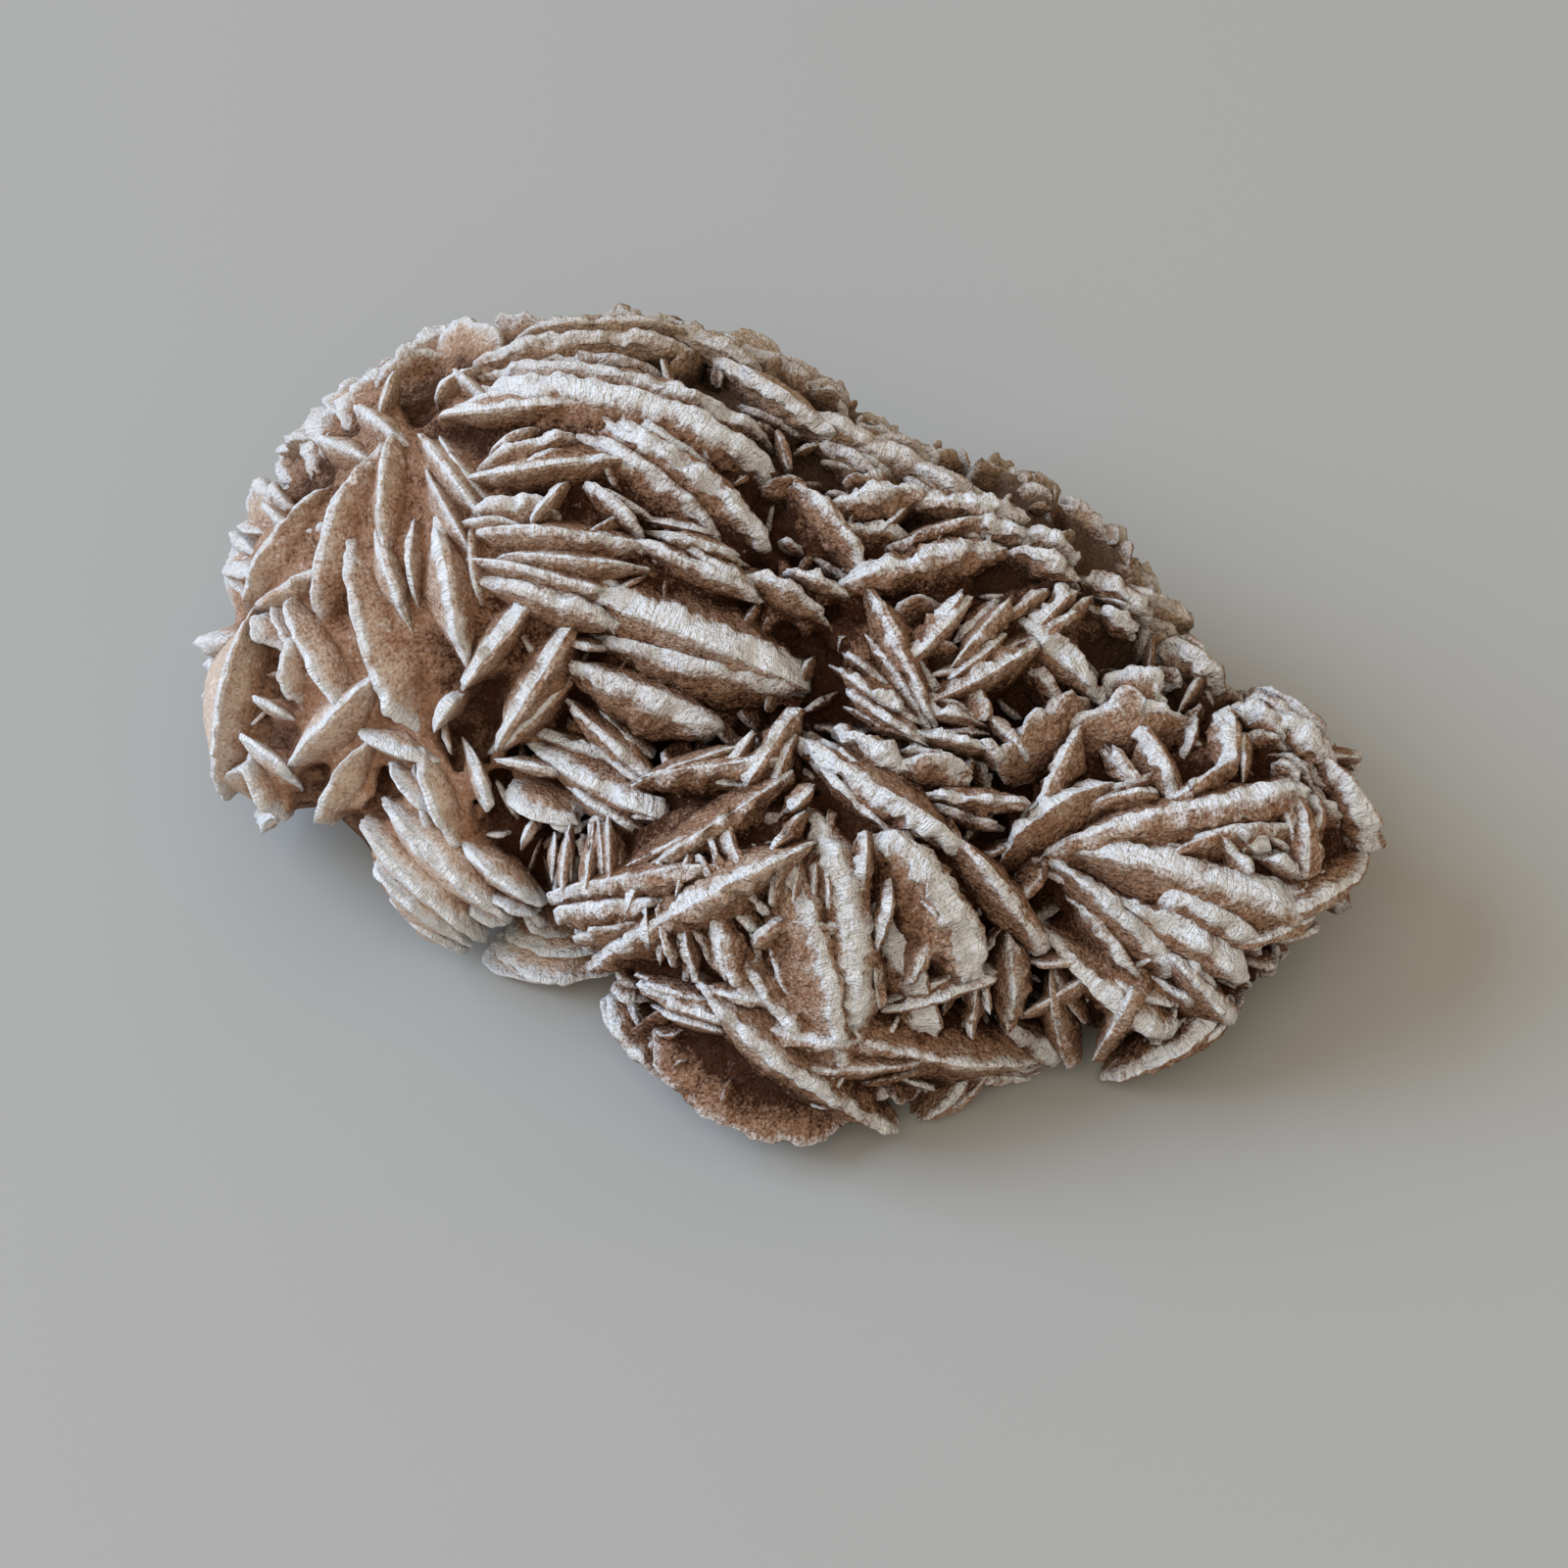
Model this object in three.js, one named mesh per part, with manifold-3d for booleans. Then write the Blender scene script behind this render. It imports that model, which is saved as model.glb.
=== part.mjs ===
// Gypsum sand rose: a desert rose of lens-shaped gypsum blades grown through one another
// around a sandy core. Millimetres, +Z up. It rests on z = 0, on worn blade tips and a worn
// patch of its core, with the origin under the middle of its bounding box.

import * as THREE from 'three';
import { mergeVertices } from 'three/addons/utils/BufferGeometryUtils.js';
import Module from 'manifold-3d';

// ---------------------------------------------------------------- driving dimensions

// The show face is the side that people look at. Its plan has u along X and v up the face,
// and the face looks towards -Y and up at this angle from the table.
const SHOW_ELEVATION = 52;
const PLAN_HEIGHT = 20; // height of the plan's zero point above the table
const CENTRING = new THREE.Vector3(0.7, -4.1, 0); // brings the box's middle over the origin

// Rounded masses that the blade tips reach: centre x, y, z, then radii along x, y, z.
const LOBES = [
  [-20, 20, 24, 36, 28, 25], // dome
  [-47, 10, 15, 14, 19, 15], // left end
  [14, 10, 20, 28, 24, 20], // shoulder
  [4, -17, 15, 26, 15, 17], // front rosette
  [42, -9, 15, 18, 17, 15], // right fan
  [-31, -5, 11, 17, 14, 12], // lower left stack
  [3, -24, 8, 19, 16, 11], // front skirt
  [36, -18, 9, 13, 14, 10], // right skirt
];
const LOBE_BLEND = 4; // how softly the masses run into one another
const CORE_DEPTH = 5; // from the blade tips down to the sandy core
const CORE_LINKS = [
  [25, -5, 13, 18, 13, 10], // joins the right fan to the shoulder
  [-4, 3, 8, 26, 18, 9.5], // foot: the core's worn underside
];

// Blades of the show face, one row each, laid out on the plan in mm: where the crest starts
// (u, v), where it ends (u, v), how far its middle bows to the left of that line, and how
// wide the crest is. Two more numbers, where given, lift the blade and set its reach inwards.
const CROWN = [
  [-12, 40.5, -3, 36.5, 0.8, 2], [-7, 37, 4, 29.5, 0.8, 2], [3, 31, 10, 27.5, 1, 2],
  [7, 28.5, 14.5, 25.5, 1, 2], [12, 26.5, 19, 22.5, 1, 2], [-30, 36, -10.5, 37, 2.5, 2],
  [-31, 33.5, -3.5, 28, 4.5, 1.8], [-31, 31, -2.5, 23.5, 5.5, 3.2],
  [-34, 30.5, -21.5, 32, 0.5, 1.6], [-29.5, 25, -20.5, 28.5, 1.5, 1.6],
  [-31, 24, -14.5, 26, 0.2, 1.2], [-30.5, 20.5, -23, 21, 1.2, 1.4],
  [-20, 23.8, -14.5, 19, 0.5, 1.3], [-20.5, 30, -3, 18, 2.6, 2.8], [-31, 18, -14, 16.5, 1.3, 1.3],
  [-14, 17.5, -2.5, 12.5, 0.4, 1.6],
];
const SHOULDER = [
  [0, 24, 7.5, 15, 1.8, 1.5], [5.5, 21.5, 15, 23, 1.2, 2.3], [14, 22.3, 24.5, 21, 0.6, 2.2],
  [7.5, 13.5, 22.5, 17, 1.4, 3], [8, 14, 14, 1.5, 0.2, 1.3], [-3.8, 14.5, 4.5, 10.5, 1.2, 1.4],
  [12, 6.3, 18.7, 12.7, 0, 1.8], [17.2, 6.3, 23.5, 13, 0, 1.8], [23, 17.3, 30, 14.5, 0.8, 1.5],
  [14.8, 2.8, 27.7, 9, 0.2, 1.4], [23, 10.5, 32, 1.6, 0.5, 1.8], [18, 20.5, 25, 18.5, 1, 1.8],
  [30.5, 15.2, 37, 10.5, 1, 2], [36.5, 12.5, 43, 9, 1.2, 2], [38, 8.5, 44, 4.5, 1, 2],
];
const SADDLE = [
  [25.5, -8, 29.5, 0, 1, 1.6], [28, -1.2, 40, 0, 3, 1.8], [34, 1.2, 38, -7.3, 0.3, 2.1],
  [21.8, -3, 29.3, 2.3, 2, 1.6], [15.3, -6.8, 24.2, -8, 0.3, 1.4], [48, 1, 55, -4.5, 1.2, 2.6],
];
const FAN = [
  [22, -12.2, 32.3, -6.2, 2, 2.2], [27, -13.5, 50.5, -8, 2.2, 3.2],
  [29.3, -13.2, 50, -18.8, 2, 3.6], [33.3, -17.8, 45.2, -24.3, 0.9, 2.8],
  [26.5, -14, 37.7, -24, 1, 2.2], [38.3, -23.7, 44.6, -30, 0.5, 1.9],
  [26.7, -20.8, 38.5, -30.2, -1.5, 2.2], [16.3, -11, 24.9, -22.3, 0.8, 1.4],
  [53, -3, 58.5, -13, 1.5, 2.4], [58.8, -11.5, 50, -17, 1.5, 2], [50.3, -7, 50.8, -14.5, 0.8, 2],
  [27, -26.8, 30, -35, -1, 1.4], [30.4, -35, 33.4, -28.5, 0.2, 1.8],
  [30.6, -35.2, 41.8, -29.3, -1.6, 2.6], [44, -21, 52, -18.5, -0.6, 1.6],
];
const ROSETTE = [
  [-25, -18, -8, -15, 1.2, 1.8], [-25, -19.5, -14, -18, 0.8, 1.8],
  [-21.5, -26, -4, -15.3, 0.6, 2.4], [-6.7, -17.3, -3, -26.6, -1, 1.7],
  [-14.2, -15.3, 0, -5.4, 0.3, 1.4], [6.5, -31.2, 2.6, -8.5, -4.2, 3.4],
  [2.8, -27, -1.2, -19.5, 1, 1.2], [17.5, -25, 10.3, -12.8, -3.6, 3.2],
  [11.5, -25.3, 15.1, -17.8, -0.9, 1.4], [10.8, -27, 20.7, -23.8, -0.7, 1.2],
  [22.2, -31.3, 22.2, -22.8, -0.7, 2],
];
const HEART = [
  [-3, -5.2, 2.2, 1.8, 0.5, 2], [0.8, -1.6, 16, -11.8, 0.6, 2.3], [4.6, -0.2, 11, -3.5, 0.4, 2],
  [4.6, 6, 12.8, 0.8, 0.2, 1.2], [11.2, -4, 18.2, -4.8, 1.2, 1.6], [-15.4, -5.6, -2, -4, 0.3, 1.5],
];
const MIDDLE = [
  [-30, 14, -16.8, 10, 0.4, 2], [-27.5, 16.3, 1.8, 4.6, 0.7, 3.6],
  [-21.4, 5.6, -7, -0.5, 0.7, 2.5], [-22, 3, -12.8, -5, 0, 1.1], [-25.6, -1.4, -13, -7.9, -0.4, 2],
  [-28.7, -3, -21.5, 8.3, 0, 2], [-27.8, -6.3, -21.3, -9.5, -1.2, 1.2],
  [-32.2, 3, -25.5, 10.9, 0, 1.8],
];
const PETALS = [
  [-38.7, 18, -38.3, 29.5, 1, 1.6], [-37, 10.3, -40, 19.2, 0, 1.8],
  [-45.3, 11.5, -39.5, 27.8, 2.7, 2], [-35.2, -1.6, -41.5, 18.5, 3.2, 2],
  [-30.9, 6.2, -33.7, 20.3, 0.2, 3.2], [-37, 29.5, -30.3, 21, 0.3, 1.3],
  [-54.2, 11.5, -46.3, 22.8, 2.4, 1.6], [-54, 11, -46.3, 14.8, 0.8, 1.3],
  [-43.8, 2.3, -49.3, 13.2, 1.5, 1.5], [-50, -5, -41, 4.3, 0.5, 2.2],
  [-42.5, -0.5, -35.4, -3.3, -0.4, 2], [-46.8, -10.3, -42, -2.7, 2, 1.5],
  [-32.6, -12.6, -35.8, -3, 0.9, 1.8], [-58, -9.5, -54.6, 7, 3.2, 1.6],
];
const STACK = [
  [-41, -10.5, -30, -21.6, -1, 1.4], [-39.2, -8, -28, -18.5, -0.7, 1.3],
  [-32, -11.5, -24.4, -17.5, -0.5, 1.1], [-38.3, -16.7, -30.8, -23.5, -0.5, 1.4],
  [-30, -21.5, -20, -25.7, -0.8, 1.4],
];
const SKIRT = [
  [-11.8, -28.5, 5.5, -38, -6.5, 2, 0, 8], [-18, -27, -11.5, -34.5, -1.6, 1.4, 0, 6],
  [-4.5, -27.5, 12.5, -40.5, -1.2, 1.8], [12, -40.5, 18, -34.5, -1.2, 1.6],
  [-3, -27.8, 27, -32.7, -1.8, 1.3], [18, -33.8, 27, -34.8, -1.6, 1.4, 0, 5],
];
const SHOW_BLADES = [
  CROWN, SHOULDER, SADDLE, FAN, ROSETTE, HEART, MIDDLE, PETALS, STACK, SKIRT,
].flat();

const CREST_SPREAD = 1.12; // a blade's half-width over its visible crest's half-length
const LEAN_BOW = 0.6; // bow of a blade lying flat, over its crest's half-length
const STEEPEST_LEAN = 0.95; // sine of the most that a blade leans
const LEAST_REACH = 4; // so that the smallest blade still roots in the core
const REACH_SHARE = [0.6, 1.25]; // least and most reach over the half-width
const BODY_PER_CREST = 1.6; // a blade's thickness at its middle over its crest's width

// Blades of the back and underside, which follow the lobes.
const HIDDEN_SPACING = 14;
const HIDDEN_HALF = [6, 10]; // crest half-lengths, from and to
const HIDDEN_CREST = [1.8, 2.8]; // crest widths, from and to
const HIDDEN_ROUNDNESS = [0.75, 1]; // reach inwards over the half-length, from and to
const HIDDEN_SWAY = 50; // degrees that the crests swing as they go round the body
const HIDDEN_SWAY_LENGTH = 13;
const HIDDEN_SCATTER = 45; // degrees off that swing, either way
const HIDDEN_LEAN = 23; // degrees off upright, either way
const SHOWN_FROM = 0.12; // skin that faces the show side more than this has blades of its own
const SHOWN_FROM_ABOVE = 0.4; // the same where the skin falls away over the top

const LENS_SIDES = 7;
const CORE_DETAIL = 1; // subdivisions of a core lobe
const GROUND_CUT = [200, 200, 60]; // block that wears the underside flat at z = 0

const ROSE_COLOUR = 0xb49a85;
const ROSE_ROUGHNESS = 0.95;

// ---------------------------------------------------------------- the skin of the body

const radians = THREE.MathUtils.degToRad;
const U_AXIS = new THREE.Vector3(1, 0, 0);
const OUT_AXIS = new THREE.Vector3(
  0, -Math.cos(radians(SHOW_ELEVATION)), Math.sin(radians(SHOW_ELEVATION)));
const V_AXIS = new THREE.Vector3().crossVectors(OUT_AXIS, U_AXIS);
const PLAN_ORIGIN = new THREE.Vector3(0, 0, PLAN_HEIGHT);

// Rough distance from a point to the blended lobes, below zero inside them.
function skinDistance(point) {
  const near = LOBES.map(([x, y, z, rx, ry, rz]) => {
    const q = new THREE.Vector3((point.x - x) / rx, (point.y - y) / ry, (point.z - z) / rz);
    const slope = Math.hypot(q.x / rx, q.y / ry, q.z / rz);
    return (q.length() * (q.length() - 1)) / Math.max(slope, 1e-9);
  });
  const least = Math.min(...near);
  const sum = near.reduce((total, d) => total + Math.exp((least - d) / LOBE_BLEND), 0);
  return least - LOBE_BLEND * Math.log(sum);
}

function skinNormal(point) {
  const step = 0.2;
  const slope = ['x', 'y', 'z'].map((axis) => {
    const ahead = point.clone();
    const behind = point.clone();
    ahead[axis] += step;
    behind[axis] -= step;
    return skinDistance(ahead) - skinDistance(behind);
  });
  return new THREE.Vector3(...slope).normalize();
}

// The outermost point of the skin over a point of the plan, or the nearest miss beside it.
function skinPoint(u, v) {
  const start = 80;
  const end = -60;
  const touching = 0.02;
  const base = PLAN_ORIGIN.clone().addScaledVector(U_AXIS, u).addScaledVector(V_AXIS, v);
  let best = { miss: Infinity, height: 0 };
  for (let height = start; height > end;) {
    const miss = skinDistance(base.clone().addScaledVector(OUT_AXIS, height));
    if (miss < best.miss) best = { miss, height };
    if (miss < touching) break;
    height -= Math.max(0.15, 0.8 * miss);
  }
  return base.addScaledVector(OUT_AXIS, best.height);
}

// ---------------------------------------------------------------- blades

// A blade is { centre, along, outward, half, reach, thickness }: a lens with radius half along
// its crest and radius reach across it, in the plane of along and outward.
function showBlade([uStart, vStart, uEnd, vEnd, bow, crest, lift = 0, reach = null]) {
  const length = Math.hypot(uEnd - uStart, vEnd - vStart);
  const start = skinPoint(uStart, vStart);
  const end = skinPoint(uEnd, vEnd);
  const top = skinPoint(
    (uStart + uEnd) / 2 - (bow * (vEnd - vStart)) / length,
    (vStart + vEnd) / 2 + (bow * (uEnd - uStart)) / length);
  const along = end.clone().sub(start).normalize();
  const crestHalf = end.distanceTo(start) / 2;
  const facing = OUT_AXIS.clone().addScaledVector(along, -OUT_AXIS.dot(along)).normalize();
  const left = new THREE.Vector3().crossVectors(facing, along);
  const lean = THREE.MathUtils.clamp(bow / (LEAN_BOW * crestHalf), -STEEPEST_LEAN, STEEPEST_LEAN);
  const outward = facing.multiplyScalar(Math.sqrt(1 - lean * lean)).addScaledVector(left, lean);
  const half = crestHalf * CREST_SPREAD;
  const drop = top.clone().sub(start.add(end).multiplyScalar(0.5)).dot(outward);
  const arc = 1 - Math.sqrt(1 - 1 / CREST_SPREAD ** 2);
  const [shallow, deep] = REACH_SHARE.map((share) => Math.max(share * half, LEAST_REACH));
  return rootedBlade({
    top: top.addScaledVector(outward, lift), along, outward, half,
    reach: reach ?? THREE.MathUtils.clamp(drop / arc, shallow, deep), crest,
  });
}

function rootedBlade({ top, along, outward, half, reach, crest }) {
  return {
    centre: top.clone().addScaledVector(outward, -reach), along, outward, half, reach,
    thickness: crest * BODY_PER_CREST,
  };
}

// A number from 0 to 1 that looks random but is the same every time.
function chance(index, salt) {
  const wave = Math.sin(index * 12.9898 + salt * 78.233) * 43758.5453;
  return wave - Math.floor(wave);
}

const between = ([low, high], share) => low + (high - low) * share;

// Blades spread evenly over the skin of one lobe where the show face doesn't reach.
function hiddenBlades(lobe, lobeIndex) {
  const [x, y, z, rx, ry, rz] = lobe;
  const centre = new THREE.Vector3(x, y, z);
  const area = 4 * Math.PI * ((rx * ry + ry * rz + rx * rz) / 3);
  const count = Math.round(area / HIDDEN_SPACING ** 2);
  const goldenTurn = Math.PI * (3 - Math.sqrt(5));
  const blades = [];
  for (let i = 0; i < count; i += 1) {
    const level = 1 - (2 * i + 1) / count;
    const round = Math.sqrt(1 - level * level);
    const seed = 100 * lobeIndex + i;
    const top = new THREE.Vector3(
      rx * round * Math.cos(goldenTurn * i), ry * round * Math.sin(goldenTurn * i), rz * level)
      .add(centre);
    if (skinDistance(top) < -LOBE_BLEND) continue;
    const normal = skinNormal(top);
    top.addScaledVector(normal, -skinDistance(top));
    const shownFrom = normal.z > 0.3 ? SHOWN_FROM_ABOVE : SHOWN_FROM;
    if (normal.dot(OUT_AXIS) > shownFrom) continue;
    const turn = HIDDEN_SWAY * Math.sin(top.x / HIDDEN_SWAY_LENGTH)
      + between([-HIDDEN_SCATTER, HIDDEN_SCATTER], chance(seed, 1));
    const along = new THREE.Vector3(-normal.y, normal.x, 0).normalize()
      .applyAxisAngle(normal, radians(turn));
    const lean = between([-HIDDEN_LEAN, HIDDEN_LEAN], chance(seed, 2));
    const half = between(HIDDEN_HALF, chance(seed, 3));
    blades.push(rootedBlade({
      top, along, outward: normal.clone().applyAxisAngle(along, radians(lean)), half,
      reach: half * between(HIDDEN_ROUNDNESS, chance(seed, 4)),
      crest: between(HIDDEN_CREST, chance(seed, 5)),
    }));
  }
  return blades;
}

// ---------------------------------------------------------------- solids

const wasm = await Module();
wasm.setup();
const { Manifold, Mesh } = wasm;

// Turns a closed three.js geometry into a solid, without the slivers at its poles.
function solidOf(geometry) {
  geometry.deleteAttribute('normal');
  geometry.deleteAttribute('uv');
  const merged = mergeVertices(geometry, 1e-4);
  const corners = merged.index.array;
  const triangles = [];
  for (let i = 0; i < corners.length; i += 3) {
    const [a, b, c] = corners.slice(i, i + 3);
    if (a !== b && b !== c && c !== a) triangles.push(a, b, c);
  }
  return new Manifold(new Mesh({
    numProp: 3,
    vertProperties: new Float32Array(merged.attributes.position.array),
    triVerts: new Uint32Array(triangles),
  }));
}

// A lens: two shallow cones that meet at the rim.
function lens({ centre, along, outward, half, reach, thickness }) {
  const profile = [
    new THREE.Vector2(0, -0.5), new THREE.Vector2(1, 0), new THREE.Vector2(0, 0.5),
  ];
  const across = new THREE.Vector3().crossVectors(outward, along);
  const place = new THREE.Matrix4().makeBasis(
    along.clone().multiplyScalar(half), across.multiplyScalar(thickness),
    outward.clone().multiplyScalar(reach)).setPosition(centre);
  return solidOf(new THREE.LatheGeometry(profile, LENS_SIDES).applyMatrix4(place));
}

function coreLobe([x, y, z, rx, ry, rz], depth = 0) {
  const ball = new THREE.IcosahedronGeometry(1, CORE_DETAIL);
  return solidOf(ball.scale(rx - depth, ry - depth, rz - depth).translate(x, y, z));
}

function grownTogether() {
  const core = LOBES.map((lobe) => coreLobe(lobe, CORE_DEPTH));
  const links = CORE_LINKS.map((lobe) => coreLobe(lobe));
  const blades = [...SHOW_BLADES.map(showBlade), ...LOBES.flatMap(hiddenBlades)].map(lens);
  const [width, depth, height] = GROUND_CUT;
  const ground = solidOf(new THREE.BoxGeometry(width, depth, height).translate(0, 0, -height / 2));
  const whole = Manifold.union([...core, ...links, ...blades]).subtract(ground);
  // Crumbs that touch nothing and pockets that nothing reaches are left out.
  return whole.decompose().reduce((a, b) => (a.volume() > b.volume() ? a : b));
}

function sandRose() {
  const { vertProperties, triVerts, numProp } = grownTogether().getMesh();
  const geometry = new THREE.BufferGeometry();
  const places = new THREE.InterleavedBuffer(vertProperties, numProp);
  geometry.setAttribute('position', new THREE.InterleavedBufferAttribute(places, 3, 0));
  geometry.setIndex(new THREE.BufferAttribute(triVerts, 1));
  geometry.computeVertexNormals();
  const rose = new THREE.Mesh(geometry, new THREE.MeshStandardMaterial({
    color: ROSE_COLOUR, roughness: ROSE_ROUGHNESS, metalness: 0,
  }));
  rose.name = 'sand_rose';
  rose.position.copy(CENTRING);
  return rose;
}

const assembly = new THREE.Group();
assembly.add(sandRose());

export default assembly;
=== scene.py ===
"""Gypsum sand rose: lens-shaped gypsum blades grown through one another round a sandy core.

Laid out as an add-on. Shapes are worked out in millimetres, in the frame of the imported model,
and become metres when their mesh is made."""

import math

import bpy
import openvdb
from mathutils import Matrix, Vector
import numpy as np


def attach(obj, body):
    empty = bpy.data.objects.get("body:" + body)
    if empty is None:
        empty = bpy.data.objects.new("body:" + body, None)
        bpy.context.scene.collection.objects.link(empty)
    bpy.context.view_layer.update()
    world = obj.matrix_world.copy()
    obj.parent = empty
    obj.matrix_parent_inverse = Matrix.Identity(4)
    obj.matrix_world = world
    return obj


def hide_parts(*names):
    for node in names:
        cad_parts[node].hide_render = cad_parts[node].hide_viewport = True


bl_info = {
    "name": "Gypsum Sand Rose",
    "version": (1, 0, 0),
    "blender": (4, 5, 0),
    "location": "View3D > Sidebar > Sand Rose",
    "description": "Grows a desert rose of striated gypsum blades with its sand, and its stage",
    "category": "Object",
}

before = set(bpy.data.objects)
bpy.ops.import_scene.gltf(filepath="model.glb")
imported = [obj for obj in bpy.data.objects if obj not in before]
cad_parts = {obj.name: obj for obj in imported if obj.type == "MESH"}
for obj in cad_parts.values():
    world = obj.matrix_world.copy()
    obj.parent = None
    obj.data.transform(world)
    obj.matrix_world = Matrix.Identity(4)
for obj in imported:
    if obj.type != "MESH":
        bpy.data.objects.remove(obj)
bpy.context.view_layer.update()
BODY = "root"
CAD_NODE = "sand_rose"
MATERIAL = "Rose gypsum"
MM = 0.001

# The show face is laid out on a plan: u along X, v up the face, which looks towards -Y and up.
SHOW_ELEVATION = math.radians(52)
PLAN_HEIGHT = 20.0
CENTRING = np.array([0.7, -4.1, 0.0])
U_AXIS = np.array([1.0, 0.0, 0.0])
OUT_AXIS = np.array([0.0, -math.cos(SHOW_ELEVATION), math.sin(SHOW_ELEVATION)])
V_AXIS = np.cross(OUT_AXIS, U_AXIS)
PLAN_ORIGIN = np.array([0.0, 0.0, PLAN_HEIGHT])

# Rounded masses that the blade tips reach: centre x, y, z, then radii along x, y, z, in mm.
LOBES = np.array([
    (-20, 20, 24, 36, 28, 25),  # dome
    (-47, 10, 15, 14, 19, 15),  # left end
    (14, 10, 20, 28, 24, 20),  # shoulder
    (4, -17, 15, 26, 15, 17),  # front rosette
    (42, -9, 15, 18, 17, 15),  # right fan
    (-31, -5, 11, 17, 14, 12),  # lower left stack
    (3, -24, 8, 19, 16, 11),  # front skirt
    (36, -18, 9, 13, 14, 10),  # right skirt
], float)
LOBE_BLEND = 4.0
SLOPE_STEP = 0.2
CORE_LINKS = np.array([
    (25, -5, 13, 18, 13, 10),  # joins the right fan to the shoulder
    (-4, 3, 8, 26, 18, 9.5),  # foot
], float)

# Blades of the show face, one row each, in mm on the plan: where the crest starts (u, v), where
# it ends (u, v), how far its middle bows to the left of that line, and how wide the crest is.
# Two more numbers, where given, lift the blade and set its reach inwards.
CROWN = [
    (-16, 40.8, -10.5, 41.3, 1, 2.5), (-12, 40.5, -3, 36.5, 0.8, 2), (-7, 37, 4, 29.5, 0.8, 2),
    (3, 31, 10, 27.5, 1, 2), (7, 28.5, 14.5, 25.5, 1, 2), (12, 26.5, 19, 22.5, 1, 2),
    (-30, 36, -10.5, 37, 2.5, 2), (-31, 33.5, -3.5, 28, 4.5, 1.8), (-31, 31, -2.5, 23.5, 5.5, 3.2),
    (-34, 30.5, -21.5, 32, 0.5, 1.6), (-29.5, 25, -20.5, 28.5, 1.5, 1.6), (-31, 24, -14.5, 26, 0.2, 1.2),
    (-30.5, 20.5, -23, 21, 1.2, 1.4), (-24.5, 19.5, -21, 23.5, 0.3, 1.2),
    (-20, 23.8, -14.5, 19, 0.5, 1.3), (-20.5, 30, -3, 18, 2.6, 2.8), (-31, 18, -14, 16.5, 1.3, 1.3),
    (-14, 17.5, -2.5, 12.5, 0.4, 1.6), (-12.5, 18.5, -3.5, 15.8, 0.3, 1.1),
    (-27.5, 16, -14.5, 15, 0.4, 1), (-30, 15.8, -14.5, 12, 0.3, 1),
]
SHOULDER = [
    (0, 24, 7.5, 15, 1.8, 1.5), (5.5, 21.5, 15, 23, 1.2, 2.3), (14, 22.3, 24.5, 21, 0.6, 2.2),
    (7.5, 13.5, 22.5, 17, 1.4, 3), (8, 14, 14, 1.5, 0.2, 1.3), (-3.8, 14.5, 4.5, 10.5, 1.2, 1.4),
    (0.5, 15, 6, 13, 0.3, 1.2), (12, 6.3, 18.7, 12.7, 0, 1.8), (17.2, 6.3, 23.5, 13, 0, 1.8),
    (23, 17.3, 30, 14.5, 0.8, 1.5), (25.3, 10, 29.5, 14.5, 0.5, 2.2), (26, 9, 30, 11.5, 0.3, 1.5),
    (14.8, 2.8, 27.7, 9, 0.2, 1.4), (23, 10.5, 32, 1.6, 0.5, 1.8), (18, 20.5, 25, 18.5, 1, 1.8),
    (24, 19.5, 30, 16.5, 1, 1.8), (30.5, 15.2, 37, 10.5, 1, 2), (36.5, 12.5, 43, 9, 1.2, 2),
    (30.5, 12, 36, 8.5, 0.5, 1.6), (38, 8.5, 44, 4.5, 1, 2),
]
SADDLE = [
    (32.3, 4.5, 38.3, 2.5, 2.2, 2.5), (25.5, -8, 29.5, 0, 1, 1.6), (28, -1.2, 40, 0, 3, 1.8),
    (34, 1.2, 38, -7.3, 0.3, 2.1), (31.2, -1.5, 34, -5.4, 0.3, 1.4), (21.8, -3, 29.3, 2.3, 2, 1.6),
    (26.3, 2.3, 27, 0, 0, 1), (19, -1.2, 19, 3.8, -0.9, 1), (18.7, -0.7, 21.2, -3.5, 0.2, 1),
    (13.2, -3.2, 18.2, -5, 0.8, 1.4), (15.3, -6.8, 24.2, -8, 0.3, 1.4),
    (43.2, -3.2, 43.3, 3.4, -0.3, 2.4), (38.3, -6.8, 41.5, -5, 0.3, 1.4),
    (41, -5.5, 44.5, -3.2, 0.4, 1.6), (44.5, 2.5, 50, -1, 1, 2), (48, 1, 55, -4.5, 1.2, 2.6),
]
FAN = [
    (22, -12.2, 32.3, -6.2, 2, 2.2), (30, -8.2, 36.2, -6.9, 0.6, 1.5), (27, -13.5, 50.5, -8, 2.2, 3.2),
    (29.3, -13.2, 50, -18.8, 2, 3.6), (33.3, -17.8, 45.2, -24.3, 0.9, 2.8),
    (26.5, -14, 37.7, -24, 1, 2.2), (38.3, -23.7, 44.6, -30, 0.5, 1.9),
    (26.7, -20.8, 38.5, -30.2, -1.5, 2.2), (24.3, -23.4, 28.7, -23, -0.2, 0.9),
    (42.3, -10.5, 45.3, -14.2, 0.4, 1.3), (43.2, -9.6, 47.4, -11.8, 0.5, 1.6),
    (37.5, -12.8, 41.8, -10.8, 0.3, 1.1), (16.3, -11, 24.9, -22.3, 0.8, 1.4),
    (53, -3, 58.5, -13, 1.5, 2.4), (58.8, -11.5, 50, -17, 1.5, 2), (50.3, -7, 50.8, -14.5, 0.8, 2),
    (46.8, -12.5, 50.5, -14.8, 0.4, 1.4), (27, -26.8, 30, -35, -1, 1.4),
    (30.4, -35, 33.4, -28.5, 0.2, 1.8), (30.6, -35.2, 41.8, -29.3, -1.6, 2.6),
    (23.2, -28.6, 29.5, -25, 0.3, 0.9), (44, -21, 52, -18.5, -0.6, 1.6),
]
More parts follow.
